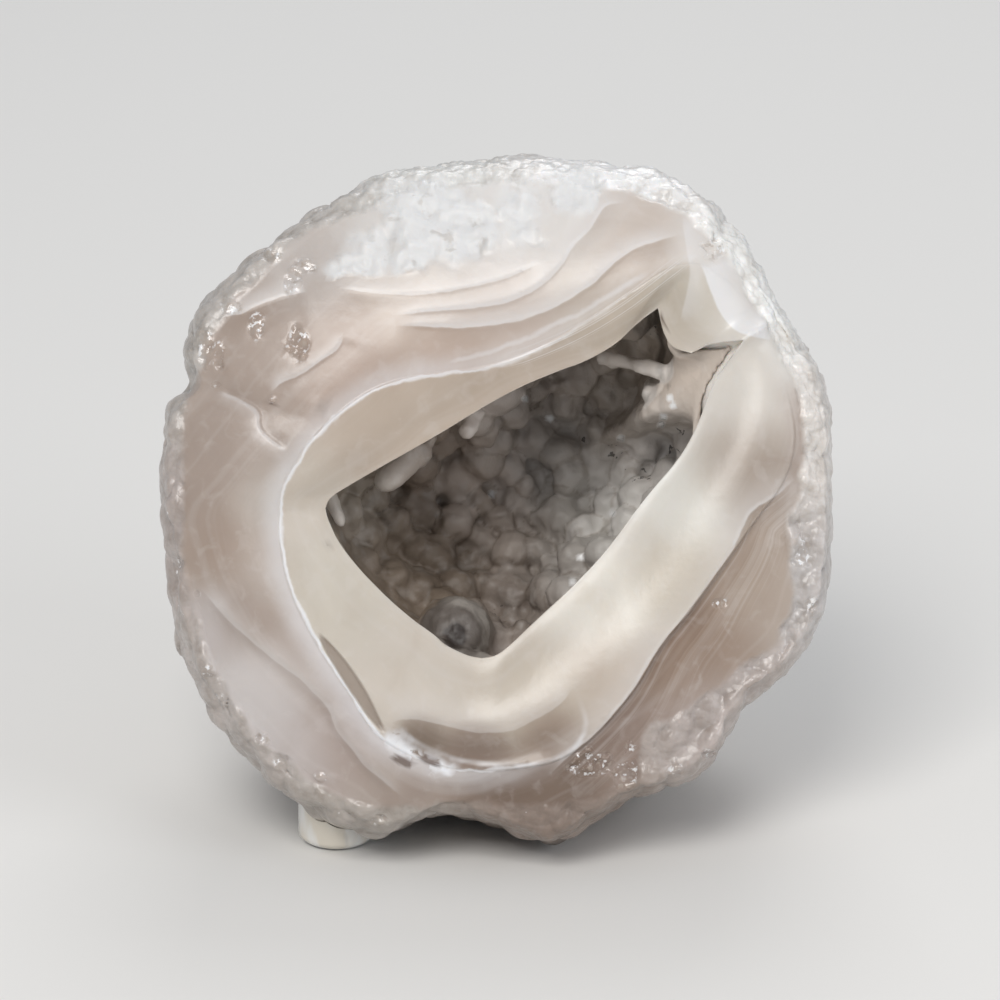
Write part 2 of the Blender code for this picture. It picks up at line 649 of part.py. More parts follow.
def make_peg(stone):
    """The peg under the stone's edge, its top shaped to the stone above it."""
    shape = bmesh.new()
    bmesh.ops.create_cone(
        shape, cap_ends=True, segments=PEG_SEGMENTS,
        radius1=PEG_RADIUS * MM, radius2=PEG_RADIUS * MM, depth=PEG_HEIGHT * MM,
    )
    foot = [edge for edge in shape.edges if all(vertex.co.z < 0.0 for vertex in edge.verts)]
    bmesh.ops.bevel(
        shape, geom=foot, offset=PEG_ROUNDING * MM,
        segments=PEG_ROUNDING_SEGMENTS, profile=0.5, affect="EDGES",
    )
    place = (PEG_CENTRE[0] * MM, PEG_CENTRE[1] * MM, PEG_HEIGHT * MM / 2.0)
    bmesh.ops.translate(shape, vec=place, verts=shape.verts)
    peg = finish_object("prop_peg", shape, peg_material())
    cutter = bpy.data.objects.new("stone_above_peg", stone.data.copy())
    bpy.context.collection.objects.link(cutter)
    cutter.location = Vector(PEG_CLEARANCE) * MM
    cutter.hide_render = True
    cutter.display_type = "WIRE"
    cut = peg.modifiers.new("seat", "BOOLEAN")
    cut.operation = "DIFFERENCE"
    cut.solver = "EXACT"
    cut.object = cutter
    return peg


def main():
    clear_scene()
    stone = make_stone()
    make_crust()
    make_peg(stone)


main()
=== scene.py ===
# A broken chalcedony geode on its flat spot, the crystals in its hollow,
# and the small cream peg that props it up.

import math

import bmesh
import bpy
import numpy as np
from mathutils import Matrix, Vector
from mathutils.bvhtree import BVHTree


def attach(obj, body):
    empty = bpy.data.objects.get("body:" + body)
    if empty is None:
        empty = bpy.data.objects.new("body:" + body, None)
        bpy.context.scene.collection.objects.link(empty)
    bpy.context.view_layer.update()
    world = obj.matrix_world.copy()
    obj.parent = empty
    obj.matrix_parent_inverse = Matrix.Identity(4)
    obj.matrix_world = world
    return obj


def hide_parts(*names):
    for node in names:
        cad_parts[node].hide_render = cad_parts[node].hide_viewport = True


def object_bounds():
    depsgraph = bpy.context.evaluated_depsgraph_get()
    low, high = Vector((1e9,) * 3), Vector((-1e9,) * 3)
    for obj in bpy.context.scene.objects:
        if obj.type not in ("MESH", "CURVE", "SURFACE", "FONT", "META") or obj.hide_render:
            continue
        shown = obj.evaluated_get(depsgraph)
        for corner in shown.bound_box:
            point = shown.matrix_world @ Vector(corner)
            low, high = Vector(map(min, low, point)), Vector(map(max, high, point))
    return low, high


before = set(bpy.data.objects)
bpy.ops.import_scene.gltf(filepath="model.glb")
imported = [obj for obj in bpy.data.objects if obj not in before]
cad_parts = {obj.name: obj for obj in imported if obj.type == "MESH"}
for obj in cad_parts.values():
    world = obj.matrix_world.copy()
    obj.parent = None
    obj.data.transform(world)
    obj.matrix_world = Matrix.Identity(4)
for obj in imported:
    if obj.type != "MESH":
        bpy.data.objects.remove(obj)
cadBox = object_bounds()

mm = 0.001
fullTurn = 2.0 * math.pi
farAway = 9.0  # in cells or in widths of a lump, more than any that is near

# How the stone sits: its broken face leans back, and these are the face's middle
# above the floor and in front of the flat spot, in mm.
pose = {
    "faceTilt": 20.0,
    "faceHeight": 51.0,
    "faceForward": 22.0,
}


def leanMatrix():
    turn = Matrix.Rotation(-math.radians(pose["faceTilt"]), 4, "X")
    shift = Matrix.Translation((0.0, -pose["faceForward"] * mm, pose["faceHeight"] * mm))
    return shift @ turn


def deselectAll():
    for item in list(bpy.context.selected_objects):
        item.select_set(False)


def activate(item):
    deselectAll()
    item.select_set(True)
    bpy.context.view_layer.objects.active = item


def applyModifier(item, kind, **values):
    modifier = item.modifiers.new(kind.lower(), kind)
    for name, value in values.items():
        setattr(modifier, name, value)
    activate(item)
    bpy.ops.object.modifier_apply(modifier=modifier.name)


def countTriangles(item):
    return sum(len(face.vertices) - 2 for face in item.data.polygons)


# Noise in numpy, quick enough for hundreds of thousands of points
def latticeValue(cell, salt):
    mixed = cell[:, 0] * 374761393 + cell[:, 1] * 668265263 + cell[:, 2] * 1440662683 + salt * 1274126177
    mixed = (mixed ^ (mixed >> 13)) & 0x7FFFFFFF
    mixed = (mixed * 1103515245 + 12345) & 0x7FFFFFFF
    mixed = mixed ^ (mixed >> 15)
    return (mixed & 0xFFFF) / 65535.0


def smoothNoise(points, size, salt):
    scaled = points / size
    base = np.floor(scaled).astype(np.int64)
    part = scaled - base
    part = part * part * (3.0 - 2.0 * part)
    total = np.zeros(len(points))
    for corner in range(8):
        step = np.array((corner & 1, (corner >> 1) & 1, (corner >> 2) & 1))
        weight = np.prod(np.where(step, part, 1.0 - part), axis=1)
        total += weight * latticeValue(base + step, salt)
    return total * 2.0 - 1.0


def layeredNoise(points, size, layers, salt):
    total = np.zeros(len(points))
    for layer in range(layers):
        total += smoothNoise(points, size / 2.0**layer, salt + 17 * layer) / 2.0**layer
    return total


def cellNoise(points, size, salt):
    # distance to the nearest cell's point, in cells, and that cell's own value
    scaled = points / size
    base = np.floor(scaled).astype(np.int64)
    near = np.full(len(points), farAway)
    value = np.zeros(len(points))
    for dx in (-1, 0, 1):
        for dy in (-1, 0, 1):
            for dz in (-1, 0, 1):
                cell = base + np.array((dx, dy, dz))
                jitter = np.stack([latticeValue(cell, salt + axis) for axis in range(3)], axis=1)
                reach = np.linalg.norm(cell + jitter - scaled, axis=1)
                value = np.where(reach < near, jitter[:, 0], value)
                near = np.minimum(near, reach)
    return near, value


def smoothStep(value):
    t = np.clip(value, 0.0, 1.0)
    return t * t * (3.0 - 2.0 * t)


def bump(angles, middle, width):
    # 1 at the middle angle and falling off over the width, all in degrees
    away = np.angle(np.exp(1j * (angles - math.radians(middle)))) / math.radians(width)
    return np.exp(-(away**2))


# Lines on the broken face, in mm: x to the right and z up from the face's middle

stoneOutline = [
    (0, 43.8), (15, 45.0), (35, 44.5), (58, 47.7), (75, 46.0), (97, 44.7), (111, 45.3),
    (122, 44.4), (147, 46.6), (155, 46.1), (160, 43.4), (166, 45.4), (190, 44.8),
    (210, 47.0), (235, 48.3), (250, 47.6), (257, 43.6), (264, 42.4), (271, 44.0),
    (279, 46.1), (293, 43.3), (306, 44.8), (320, 42.3), (328, 44.3), (340, 45.2),
]

mouthOutline = [
    (32.3, 20.4), (29.6, 16.7), (28.0, 14.0), (26.4, 9.1), (23.9, 4.6), (19.3, -0.4),
    (14.0, -7.9), (8.7, -13.3), (4.1, -17.5), (1.4, -20.1), (-0.5, -21.6), (-2.4, -21.9),
    (-4.3, -21.6), (-7.3, -20.1), (-8.6, -18.8), (-12.2, -16.3), (-17.6, -11.4),
    (-21.4, -6.8), (-22.9, -3.4), (-23.2, -1.9), (-22.7, -0.5), (-20.2, 1.0), (-13.4, 5.0),
    (-7.3, 8.4), (1.1, 13.6), (7.9, 16.4), (11.3, 17.5), (15.9, 20.2), (17.8, 22.3),
    (21.0, 24.7), (21.6, 21.8), (22.7, 19.6), (24.2, 19.0), (25.9, 18.6), (27.2, 19.9),
]
mouthCorners = [(32.3, 20.4), (21.0, 24.7), (25.9, 18.6), (-23.2, -1.9), (-2.4, -21.9)]

seamOutline = [
    (24.8, 31.9), (14.8, 25.0), (8.6, 21.0), (2.4, 17.8), (-4.0, 16.3), (-10.2, 15.8),
    (-16.4, 14.2), (-21.4, 10.7), (-25.2, 7.0), (-27.2, 3.8), (-28.9, 0.7), (-29.3, -3.7),
    (-28.9, -8.1), (-27.7, -13.0), (-25.2, -18.0), (-22.6, -22.4), (-19.6, -26.7),
    (-17.1, -31.1), (-13.9, -33.6), (-9.3, -35.7), (-4.0, -36.8), (5.4, -36.1),
    (9.5, -34.4), (12.6, -32.0), (16.3, -27.9), (18.9, -24.2), (21.3, -19.9), (24.4, -16.4),
    (27.8, -11.7), (31.5, -6.6), (34.0, -3.0), (37.0, 0.6), (38.8, 4.5), (39.2, 9.0),
    (37.6, 15.0), (35.6, 21.0), (32.0, 27.0),
]

skinOutline = [
    (18.9, -38.8), (18.3, -36.0), (19.3, -30.6), (23.7, -29.3), (28.7, -26.0), (31.8, -22.5),
    (36.1, -21.2), (39.4, -15.8), (38.9, -9.0), (37.9, -4.0), (39.4, -0.5), (40.0, 5.2),
    (40.4, 10.6), (39.6, 14.4), (35.9, 20.5), (35.0, 23.8), (31.4, 30.8), (27.8, 33.4),
    (24.0, 38.6), (18.0, 40.5), (8.0, 41.5), (-2.0, 42.0), (-12.0, 40.5), (-22.0, 37.0),
    (-29.0, 33.0), (-35.0, 27.0), (-38.5, 21.5), (-40.5, 16.0), (-42.4, 12.4), (-42.6, 4.5),
    (-42.3, -2.4), (-42.0, -6.5), (-41.6, -10.5), (-41.0, -15.0), (-40.0, -18.5),
    (-38.6, -22.5), (-35.6, -28.0), (-32.0, -32.5), (-27.5, -37.0), (-23.0, -40.0),
    (-16.5, -42.0), (-10.0, -41.8), (-4.0, -40.6), (3.0, -41.5), (10.0, -41.0),
]

# Ledges: a line, the step back below it and the width over which the stone comes
# forward again
ledges = {
    "top": ([(24.4, 34.7), (21.7, 33.8), (17.9, 32.7), (15.0, 30.5), (11.8, 27.3), (7.9, 25.0),
             (3.7, 23.2), (-2.6, 22.1), (-7.9, 22.1), (-14.4, 22.4)], 0.3, 3.5),
    "second": ([(17.2, 38.7), (14.7, 38.8), (13.4, 37.6), (11.8, 35.0), (9.5, 32.7), (7.9, 29.9),
                (4.5, 27.0), (0.0, 25.0), (-9.4, 24.2), (-14.7, 23.8)], 0.25, 2.4),
    "third": ([(6.0, 31.0), (3.0, 29.6), (0.0, 28.3), (-7.9, 26.5), (-14.4, 26.5), (-21.8, 27.4)],
              0.22, 2.6),
    "upperLeft": ([(-25.7, 27.0), (-28.6, 26.5), (-32.2, 25.2), (-34.6, 24.1), (-38.7, 23.2)], 0.3, 2.5),
    "fold": ([(-20.7, 21.2), (-21.4, 19.3), (-23.8, 17.6), (-26.2, 15.9), (-28.9, 15.0), (-30.5, 13.5)],
             0.2, 2.5),
    "leftLobe": ([(-37.5, 14.0), (-34.6, 12.6), (-31.9, 11.1), (-32.0, 8.7), (-30.1, 7.0), (-28.1, 5.8)],
                 0.35, 3.5),
    "scoop": ([(9.9, -25.6), (8.2, -27.6), (5.2, -29.8), (0.0, -32.0), (-7.0, -31.0), (-11.5, -29.6),
               (-14.8, -30.4)], 0.2, 2.5),
}

outerLeftStep = [
    (-12.4, -40.6), (-15.2, -38.8), (-18.7, -35.4), (-22.1, -30.8), (-22.8, -28.3), (-27.0, -24.2),
    (-32.4, -20.4), (-36.7, -16.3), (-40.4, -12.2),
]
scoopLine = [(-15.0, -32.2), (-8.0, -34.4), (-2.0, -35.0), (4.0, -34.2), (9.4, -31.4)]
frostLine = [
    (-26.0, 29.5), (-22.5, 28.2), (-19.3, 29.5), (-14.2, 28.7), (-10.7, 29.9), (-6.9, 29.9),
    (0.0, 30.7), (6.0, 33.6), (10.6, 38.3), (12.0, 44.0),
]
# a shallow lens-shaped recess beside the white vein, and brown windows in its widest part
recessLine = [(-24.2, -18.4), (-21.6, -22.0), (-18.8, -26.2), (-16.6, -29.8), (-15.2, -31.8)]
windowLines = [[(-13.8, -35.2), (-12.2, -35.9)], [(-10.0, -35.1), (-8.4, -35.8)]]
# small spots where the stone is chipped and glassy: middle and reach in x and z
chipSpots = [
    ((-32.6, 22.6), (1.0, 2.0)), ((-26.8, 20.2), (1.7, 2.2)), ((-39.5, 19.9), (1.1, 2.7)),
    ((-37.6, 18.8), (0.8, 1.9)), ((-36.2, 25.0), (1.5, 1.0)), ((-27.4, 28.4), (1.2, 2.4)),
    ((-30.6, 32.0), (1.6, 0.9)), ((-26.0, 30.4), (1.6, 1.2)), ((-38.0, 14.6), (0.9, 0.5)),
    ((-30.2, 12.6), (0.6, 0.5)), ((12.6, -36.0), (3.2, 2.0)), ((17.0, -37.4), (1.6, 2.2)),
    ((29.2, -14.6), (1.1, 0.8)), ((40.4, -7.8), (1.6, 2.2)), ((28.6, 33.0), (2.0, 1.6)),
    ((-43.2, -9.9), (0.7, 1.1)), ((-40.4, -13.3), (0.7, 0.9)), ((-38.9, -23.6), (0.9, 0.8)),
    ((-37.6, -27.2), (0.7, 0.9)), ((-31.7, -32.7), (1.0, 0.8)), ((-29.2, -35.6), (0.9, 0.7)),
    ((-24.0, -37.8), (0.8, 0.6)), ((-16.2, -43.6), (1.1, 0.7)), ((41.5, -15.0), (0.8, 1.3)),
    ((23.5, -36.8), (1.1, 0.8)), ((27.7, -34.4), (0.9, 0.8)), ((17.3, -33.7), (0.7, 0.9)),
]
darkSpecks = [
    ((-23.6, 11.3), 0.45), ((-30.4, 11.9), 0.3), ((-22.9, -6.6), 0.3), ((21.6, 23.4), 0.25),
    ((6.2, -22.6), 0.3),
]

stoneLook = {
    "columns": 900,
    "hollowRings": 36,
    "lipRings": 7,
    "innerRings": 74,
    "outerRings": 90,
    "skinRings": 90,
    "triangles": 196000,
    "depth": 60.0,
    "hollowDepth": 45.0,
    "mouthCentre": (2.6, 0.5),
    "backCentre": (0.0, -4.0),
    "skinAllowance": 1.024,
    "backRadius": 43.5,
    "backRoundBy": 0.6,
    "skinRoundness": 2.65,
    "rimShrink": 0.04,
    "rimDepth": 4.5,
    "rimDeeperTop": 7.0,
    "rimDeeperLeft": 1.5,
    "rimToEquator": 8.0,
    "skinFront": 0.22,      # share of the skin's rings that lie in front of the equator
    "lipDepth": 5.0,
    "lipWidth": 7.5,
    "lipThickness": 1.6,
    "lipRound": 0.35,
    "leastLip": 3.0,
    "leastOutside": 2.0,
    "fullLipFace": 16.0,    # where the face is narrower than this, the lip is less deep
    "seamLeft": 0.3,
    "seamRight": 1.3,
    "seamWidth": 0.4,
    "scoopDepth": 1.4,
    "scoopWidth": 2.3,
    "recessDepth": 0.5,
    "outerLeftHeight": 0.8,
    "outerLeftWidth": 6.0,
    "hollowWidest": 19.0,
    "hollowUndercut": 2.5,
    "leastWall": 5.0,
    "cornerInward": 17.0,
    "cornerAngle": 31.0,
    "cornerReach": 11.0,
    "lumpHeight": 1.3,
    "lumpSize": 11.0,
    "knobHeight": 1.2,
    "knobSize": 4.2,
    "grainHeight": 0.6,
    "grainSize": 1.25,
    "frostHeight": 0.75,
    "chipHeight": 0.5,
}


def outlinePoints(steps=720):
    angles = np.array([float(angle) for angle, _ in stoneOutline])
    radii = np.array([radius for _, radius in stoneOutline])
    spanBefore = (angles - np.roll(angles, 1)) % 360.0
    spanAfter = (np.roll(angles, -1) - angles) % 360.0
    slopes = (np.roll(radii, -1) - np.roll(radii, 1)) / (spanBefore + spanAfter)
    points = []
    for wanted in np.arange(steps) * 360.0 / steps:
        left = int(np.searchsorted(angles, wanted, side="right")) - 1
        right = (left + 1) % len(angles)
        span = spanAfter[left]
        t = (wanted - angles[left]) / span
        radius = (
            (2 * t**3 - 3 * t**2 + 1) * radii[left]
            + (t**3 - 2 * t**2 + t) * span * slopes[left]
            + (3 * t**2 - 2 * t**3) * radii[right]
            + (t**3 - t**2) * span * slopes[right]
        )
        points.append((radius * math.cos(math.radians(wanted)), radius * math.sin(math.radians(wanted))))
    return points


def rayRadius(outline, angles, centre):
    start = np.array(outline) - np.array(centre)
    step = np.roll(start, -1, axis=0) - start
    radii = np.zeros(len(angles))
    for index, angle in enumerate(angles):
        across = np.array((-math.sin(angle), math.cos(angle)))
        along = np.array((math.cos(angle), math.sin(angle)))
        change = step @ across
        part = -(start @ across) / np.where(np.abs(change) < 1e-9, 1e-9, change)
        reach = start @ along + part * (step @ along)
        radii[index] = reach[(part >= -1e-9) & (part <= 1.0 + 1e-9) & (reach > 0.0)].max()
    return radii


def lineDistance(points, line):
    # signed distance to an open line, positive on its left, and the place along it
    corners = np.array(line)
    steps = np.diff(corners, axis=0)
    lengths = np.linalg.norm(steps, axis=1)
    travelled = np.concatenate(([0.0], np.cumsum(lengths)))
    best = np.full(len(points), 1e9)
    side = np.ones(len(points))
    place = np.zeros(len(points))
    for index, step in enumerate(steps):
        away = points - corners[index]
        part = np.clip(away @ step / lengths[index] ** 2, 0.0, 1.0)
        reach = np.linalg.norm(away - part[:, None] * step, axis=1)
        closer = reach < best
        best = np.where(closer, reach, best)
        side = np.where(closer, np.sign(step[0] * away[:, 1] - step[1] * away[:, 0]), side)
        place = np.where(closer, (travelled[index] + part * lengths[index]) / travelled[-1], place)
    return best * side, place


def endFade(place, share):
    return smoothStep(place / share) * smoothStep((1.0 - place) / share)


def roundedLine(line, passes=2):
    # corner cutting, so that a line of a few points runs smoothly
    points = [np.array(point) for point in line]
    for _ in range(passes):
        smoother = [points[0]]
        for first, second in zip(points, points[1:]):
            smoother += [first * 0.75 + second * 0.25, first * 0.25 + second * 0.75]
        points = smoother + [points[-1]]
    return points


def roundedOutline(outline, sharp=()):
    # the same on a closed line, but sharp corners stay
    points = [tuple(point) for point in outline]
    for _ in range(2):
        smoother = []
        for before, here in zip([points[-1]] + points[:-1], points):
            after = points[(points.index(here) + 1) % len(points)]
            if here in sharp:
                smoother.append(here)
            else:
                smoother.append(tuple(0.25 * np.array(before) + 0.75 * np.array(here)))
                smoother.append(tuple(0.25 * np.array(after) + 0.75 * np.array(here)))
        points = smoother
    return points


class StoneShape:
    # radii and depths of the stone along each column around the mouth's centre

    def __init__(self, columns, look):
        self.look = look
        self.centre = np.array(look["mouthCentre"])
        self.angles = np.arange(columns) * fullTurn / columns
        for x, z in mouthCorners:
            corner = math.atan2(z - self.centre[1], x - self.centre[0]) % fullTurn
            self.angles[int(round(corner / fullTurn * columns)) % columns] = corner
        self.directions = np.stack((np.cos(self.angles), np.sin(self.angles)), axis=1)
        self.mouth = rayRadius(roundedOutline(mouthOutline, mouthCorners), self.angles, self.centre)
        self.seam = rayRadius(roundedOutline(seamOutline), self.angles, self.centre)
        allowed = [(look["skinAllowance"] * x, look["skinAllowance"] * z) for x, z in outlinePoints()]
        self.outer = rayRadius(allowed, self.angles, self.centre)
        self.skin = rayRadius(roundedOutline(skinOutline), self.angles, self.centre)
        self.rim = self.outer * (1.0 - look["rimShrink"])
        self.rimDepth = (
            look["rimDepth"] + look["rimDeeperTop"] * bump(self.angles, 100, 48)
            + look["rimDeeperLeft"] * bump(self.angles, 190, 50)
        )
        self.seam = np.clip(self.seam, self.mouth + look["leastLip"], self.rim - look["leastOutside"])
        self.lipDepth = look["lipDepth"] * smoothStep((self.rim - self.mouth) / look["fullLipFace"])
        self.hollow = self.hollowRadius()
        self.edgeDepth = self.faceDepth(self.mouth[None, :])[0]

    def around(self, places):
        # turn and distance of places around the mouth's centre
        offset = places[:, [0, 2]] - self.centre
        return np.arctan2(offset[:, 1], offset[:, 0]) % fullTurn, np.hypot(offset[:, 0], offset[:, 1])

    def at(self, turn, values):
        return np.interp(turn, self.angles, values, period=fullTurn)

    def wallBehind(self, turn, depths):
        # radius of the hollow's wall behind its widest part
        widest = self.look["hollowWidest"]
        share = np.clip((depths - widest) / (self.look["hollowDepth"] - widest), 0.0, 1.0)
        return self.at(turn, self.hollow) * np.sqrt(1.0 - share**2) ** 0.75

    def hollowRadius(self):
        near = len(self.angles) // 28
        widest = np.max([np.roll(self.mouth, shift) for shift in range(-near, near + 1)], axis=0)
        reach = len(self.angles) // 14
        spread = np.mean([np.roll(widest, shift) for shift in range(-reach, reach + 1)], axis=0)
        wide = np.maximum(spread, widest) + self.look["hollowUndercut"]
        wide = np.mean([np.roll(wide, shift) for shift in range(-near, near + 1)], axis=0)
        wide = np.maximum(np.minimum(wide, self.outer - self.look["leastWall"]), self.mouth + 0.6)
        corner = bump(self.angles, self.look["cornerAngle"], self.look["cornerReach"])
        return wide - self.look["cornerInward"] * corner

    def wallRow(self, part, front, inset):
        # radii and depths of the hollow's wall, from its front (part 0) to its bottom (part 1)
        look = self.look
        widest = look["hollowWidest"]
        reach = look["hollowDepth"] - inset - widest
        ahead = (front - widest) / reach
        first = np.where(ahead > 0.0, np.arcsin(np.clip(ahead, 0.0, 1.0)), ahead)
        turn = first + (math.pi / 2.0 - first) * part
        depths = widest + reach * np.where(turn > 0.0, np.sin(np.maximum(turn, 0.0)), turn)
        start = self.edgeDepth + look["lipThickness"]
        t = np.clip((depths - start) / (widest - start), 0.0, 1.0)
        nearMouth = self.mouth + 0.5 + (self.hollow - self.mouth - 0.5) * np.sin(t * math.pi / 2.0)
        behind = self.hollow * np.cos(np.clip(turn, 0.0, math.pi / 2.0)) ** 0.75
        radii = np.maximum(np.where(turn > 0.0, behind, nearMouth) - inset, 0.02)
        return radii[None, :], depths[None, :]

    def placed(self, radii, depths, centre=None):
        # rows of points (x, depth, z) for rows of radii and depths
        middle = self.centre if centre is None else centre
        x = middle[..., 0:1] + radii * self.directions[:, 0]
        z = middle[..., 1:2] + radii * self.directions[:, 1]
        return np.stack((x, np.broadcast_to(depths, x.shape), z), axis=-1)

    def faceDepth(self, radii):
        look = self.look
        fromMouth = radii - self.mouth
        width = self.rim - self.mouth
        flat = self.placed(radii, 0.0)[..., [0, 2]].reshape(-1, 2)
        lip = self.lipDepth * np.exp(-((np.maximum(fromMouth, 0.0) / look["lipWidth"]) ** 1.6))
        slope = self.rimDepth * np.clip(fromMouth / width, 0.0, 1.0) ** 2.6
        lowerRight = bump(self.angles, 325, 38)
        height = look["seamLeft"] + (look["seamRight"] - look["seamLeft"]) * lowerRight
        height = height * (1.0 - 0.95 * bump(self.angles, 32, 30))  # healed at the upper right
        step = height * smoothStep((radii - self.seam) / look["seamWidth"])
        fade = smoothStep(fromMouth / 2.5) * smoothStep((self.rim - radii) / 2.5)
        return lip + slope + fade * (step + ledgeDepth(flat, look).reshape(radii.shape))


def ledgeDepth(points, look):
    depth = np.zeros(len(points))
    for line, height, width in ledges.values():
        distance, place = lineDistance(points, roundedLine(line))
        below = smoothStep(distance / 1.1 + 0.5) * np.exp(-np.maximum(distance, 0.0) / width)
        depth += height * endFade(place, 0.12) * below
    distance, place = lineDistance(points, roundedLine(outerLeftStep))
    fall = smoothStep(distance / 2.2 + 0.5) * np.exp(-np.maximum(distance, 0.0) / look["outerLeftWidth"])
    depth += look["outerLeftHeight"] * endFade(place, 0.15) * fall
    depth += look["recessDepth"] * recessShare(points)
    distance, place = lineDistance(points, roundedLine(scoopLine))
    depth += look["scoopDepth"] * endFade(place, 0.2) * np.exp(-((distance / look["scoopWidth"]) ** 2))
    return depth


def recessShare(points):
    distance, place = lineDistance(points, roundedLine(recessLine))
    halfWidth = 0.9 * np.sin(math.pi * place) ** 0.7
    return smoothStep((halfWidth - np.abs(distance)) / 0.35 + 0.5) * smoothStep(halfWidth / 0.4)


def stoneGrid(shape):
    # rings of points from the bottom of the hollow over the lip and the face to the back
    look = shape.look
    parts = []
    edgeDepth = shape.edgeDepth
    for index in range(look["hollowRings"]):
        part = 1.0 - (index + 0.7) / look["hollowRings"]
        parts.append(shape.placed(*shape.wallRow(part, edgeDepth + look["lipThickness"] + 0.4, 0.0)))
    for index in range(look["lipRings"]):  # the mouth's thin rounded edge
        t = index / look["lipRings"]
        outward = 0.3 * (1.0 - t) + look["lipRound"] * (1.0 - math.sin(t * math.pi / 2.0)) * t
        depths = edgeDepth + look["lipThickness"] * (1.0 - t) ** 1.5
        parts.append(shape.placed((shape.mouth + outward)[None, :], depths[None, :]))
    inner = np.linspace(0.0, 1.0, look["innerRings"])[:, None]
    radii = shape.mouth + (shape.seam - shape.mouth) * inner
    parts.append(shape.placed(radii, shape.faceDepth(radii)))
    outer = np.linspace(0.0, 1.0, look["outerRings"])[:, None] ** 1.15
    first = shape.seam + 0.12
    radii = first + (shape.rim - first) * outer
    parts.append(shape.placed(radii, shape.faceDepth(radii)))
    front = look["skinFront"]
    equator = shape.rimDepth + look["rimToEquator"]
    for index in range(1, look["skinRings"]):
        part = index / look["skinRings"]
        middle = shape.centre
        if part < front:
            t = part / front
            depths = shape.rimDepth + look["rimToEquator"] * t
            radii = shape.outer * (1.0 - look["rimShrink"] * (1.0 - t) ** 2.2)
        else:
            turn = (part - front) / (1.0 - front) * math.pi / 2.0
            bulge = math.sin(turn) ** (2.0 / look["skinRoundness"])
            depths = equator + (look["depth"] - equator) * bulge
            rounder = smoothStep(bulge / look["backRoundBy"])
            radii = shape.outer + (look["backRadius"] - shape.outer) * rounder
            radii = radii * math.cos(turn) ** (2.0 / look["skinRoundness"])
            middle = shape.centre * (1.0 - bulge) + np.array(look["backCentre"]) * bulge
        parts.append(shape.placed(radii[None, :], depths[None, :], middle))
    return np.concatenate(parts)


def sphereFromGrid(name, grid, firstPole, lastPole, finer=2):
    # a sphere made finer, whose points then take the grid's places from the top pole down
    rings, columns = grid.shape[:2]
    coarseRings = math.ceil((rings + 1) / 2**finer)
    deselectAll()
    bpy.ops.mesh.primitive_uv_sphere_add(segments=columns // 2**finer, ring_count=coarseRings, radius=1.0)
    made = bpy.context.active_object
    made.name = name
    made.data.name = name
    place = readPlaces(made) * mm
    down = np.arccos(np.clip(place[:, 2], -1.0, 1.0)) / math.pi
    around = np.hypot(place[:, 0], place[:, 1])
    atPole = around < 1e-4
    place[:, :2] /= np.maximum(around, 1e-4)[:, None]
    place[atPole, :2] = 0.0
    place[:, 2] = down
    writePlaces(made, place / mm)
    applyModifier(made, "SUBSURF", subdivision_type="SIMPLE", levels=finer, render_levels=finer)
    place = readPlaces(made) * mm
    turn = np.arctan2(place[:, 1], place[:, 0]) / fullTurn * columns
    row = place[:, 2] * (rings + 1)
    full = np.concatenate((
        np.broadcast_to(np.array(firstPole), (1, columns, 3)), grid,
        np.broadcast_to(np.array(lastPole), (1, columns, 3)),
    ))
    turn = np.where(np.abs(turn - np.rint(turn)) < 0.02, np.rint(turn), turn)
    upper = np.clip(np.floor(row + 1e-6).astype(int), 0, rings)
    left = np.floor(turn).astype(int)
    partDown = np.clip(row - upper, 0.0, 1.0)[:, None]
    partTurn = (turn - left)[:, None]
    left, right = left % columns, (left + 1) % columns
    above = full[upper, left] * (1.0 - partTurn) + full[upper, right] * partTurn
    below = full[upper + 1, left] * (1.0 - partTurn) + full[upper + 1, right] * partTurn
    return made, above * (1.0 - partDown) + below * partDown


def writePlaces(made, places):
    made.data.vertices.foreach_set("co", (places * mm).ravel())
    made.data.update()


def readPlaces(made):
    place = np.zeros(len(made.data.vertices) * 3)
    made.data.vertices.foreach_get("co", place)
    return place.reshape(-1, 3) / mm


def readNormals(made):
    normals = np.zeros(len(made.data.vertices) * 3)
    made.data.vertices.foreach_get("normal", normals)
    return normals.reshape(-1, 3)


def onWall(shape, turn, radius, depths, allowance):
    # true on the wall of the hollow, but not on the skin farther out or behind it
    look = shape.look
    widest = np.maximum(shape.at(turn, shape.hollow), shape.at(turn, shape.mouth))
    reach = np.where(depths < look["hollowWidest"], widest, shape.wallBehind(turn, depths))
    return (radius < reach + allowance) & (depths < look["hollowDepth"] + 2.0)


def skinShare(shape, places):
    # 1 on the grainy skin, 0 on the broken face and in the hollow
    turn, radius = shape.around(places)
    edge = shape.at(turn, shape.skin)
    rimDepth = shape.at(turn, shape.rimDepth)
    onFace = smoothStep((radius - edge + 0.8 * smoothNoise(places, 2.5, 5)) / 1.2 + 0.5)
    behind = smoothStep((places[:, 1] - rimDepth - 1.0) / 2.0)
    inHollow = onWall(shape, turn, radius, places[:, 1], 1.5)
    return np.where(inHollow, 0.0, np.maximum(onFace, behind))


def sugarShare(shape, places):
    # 1 on the upper right side, where the skin is a white sugar of small crystals
    turn, _ = shape.around(places)
    return smoothStep(1.6 * bump(turn, 62, 62) - 0.15)


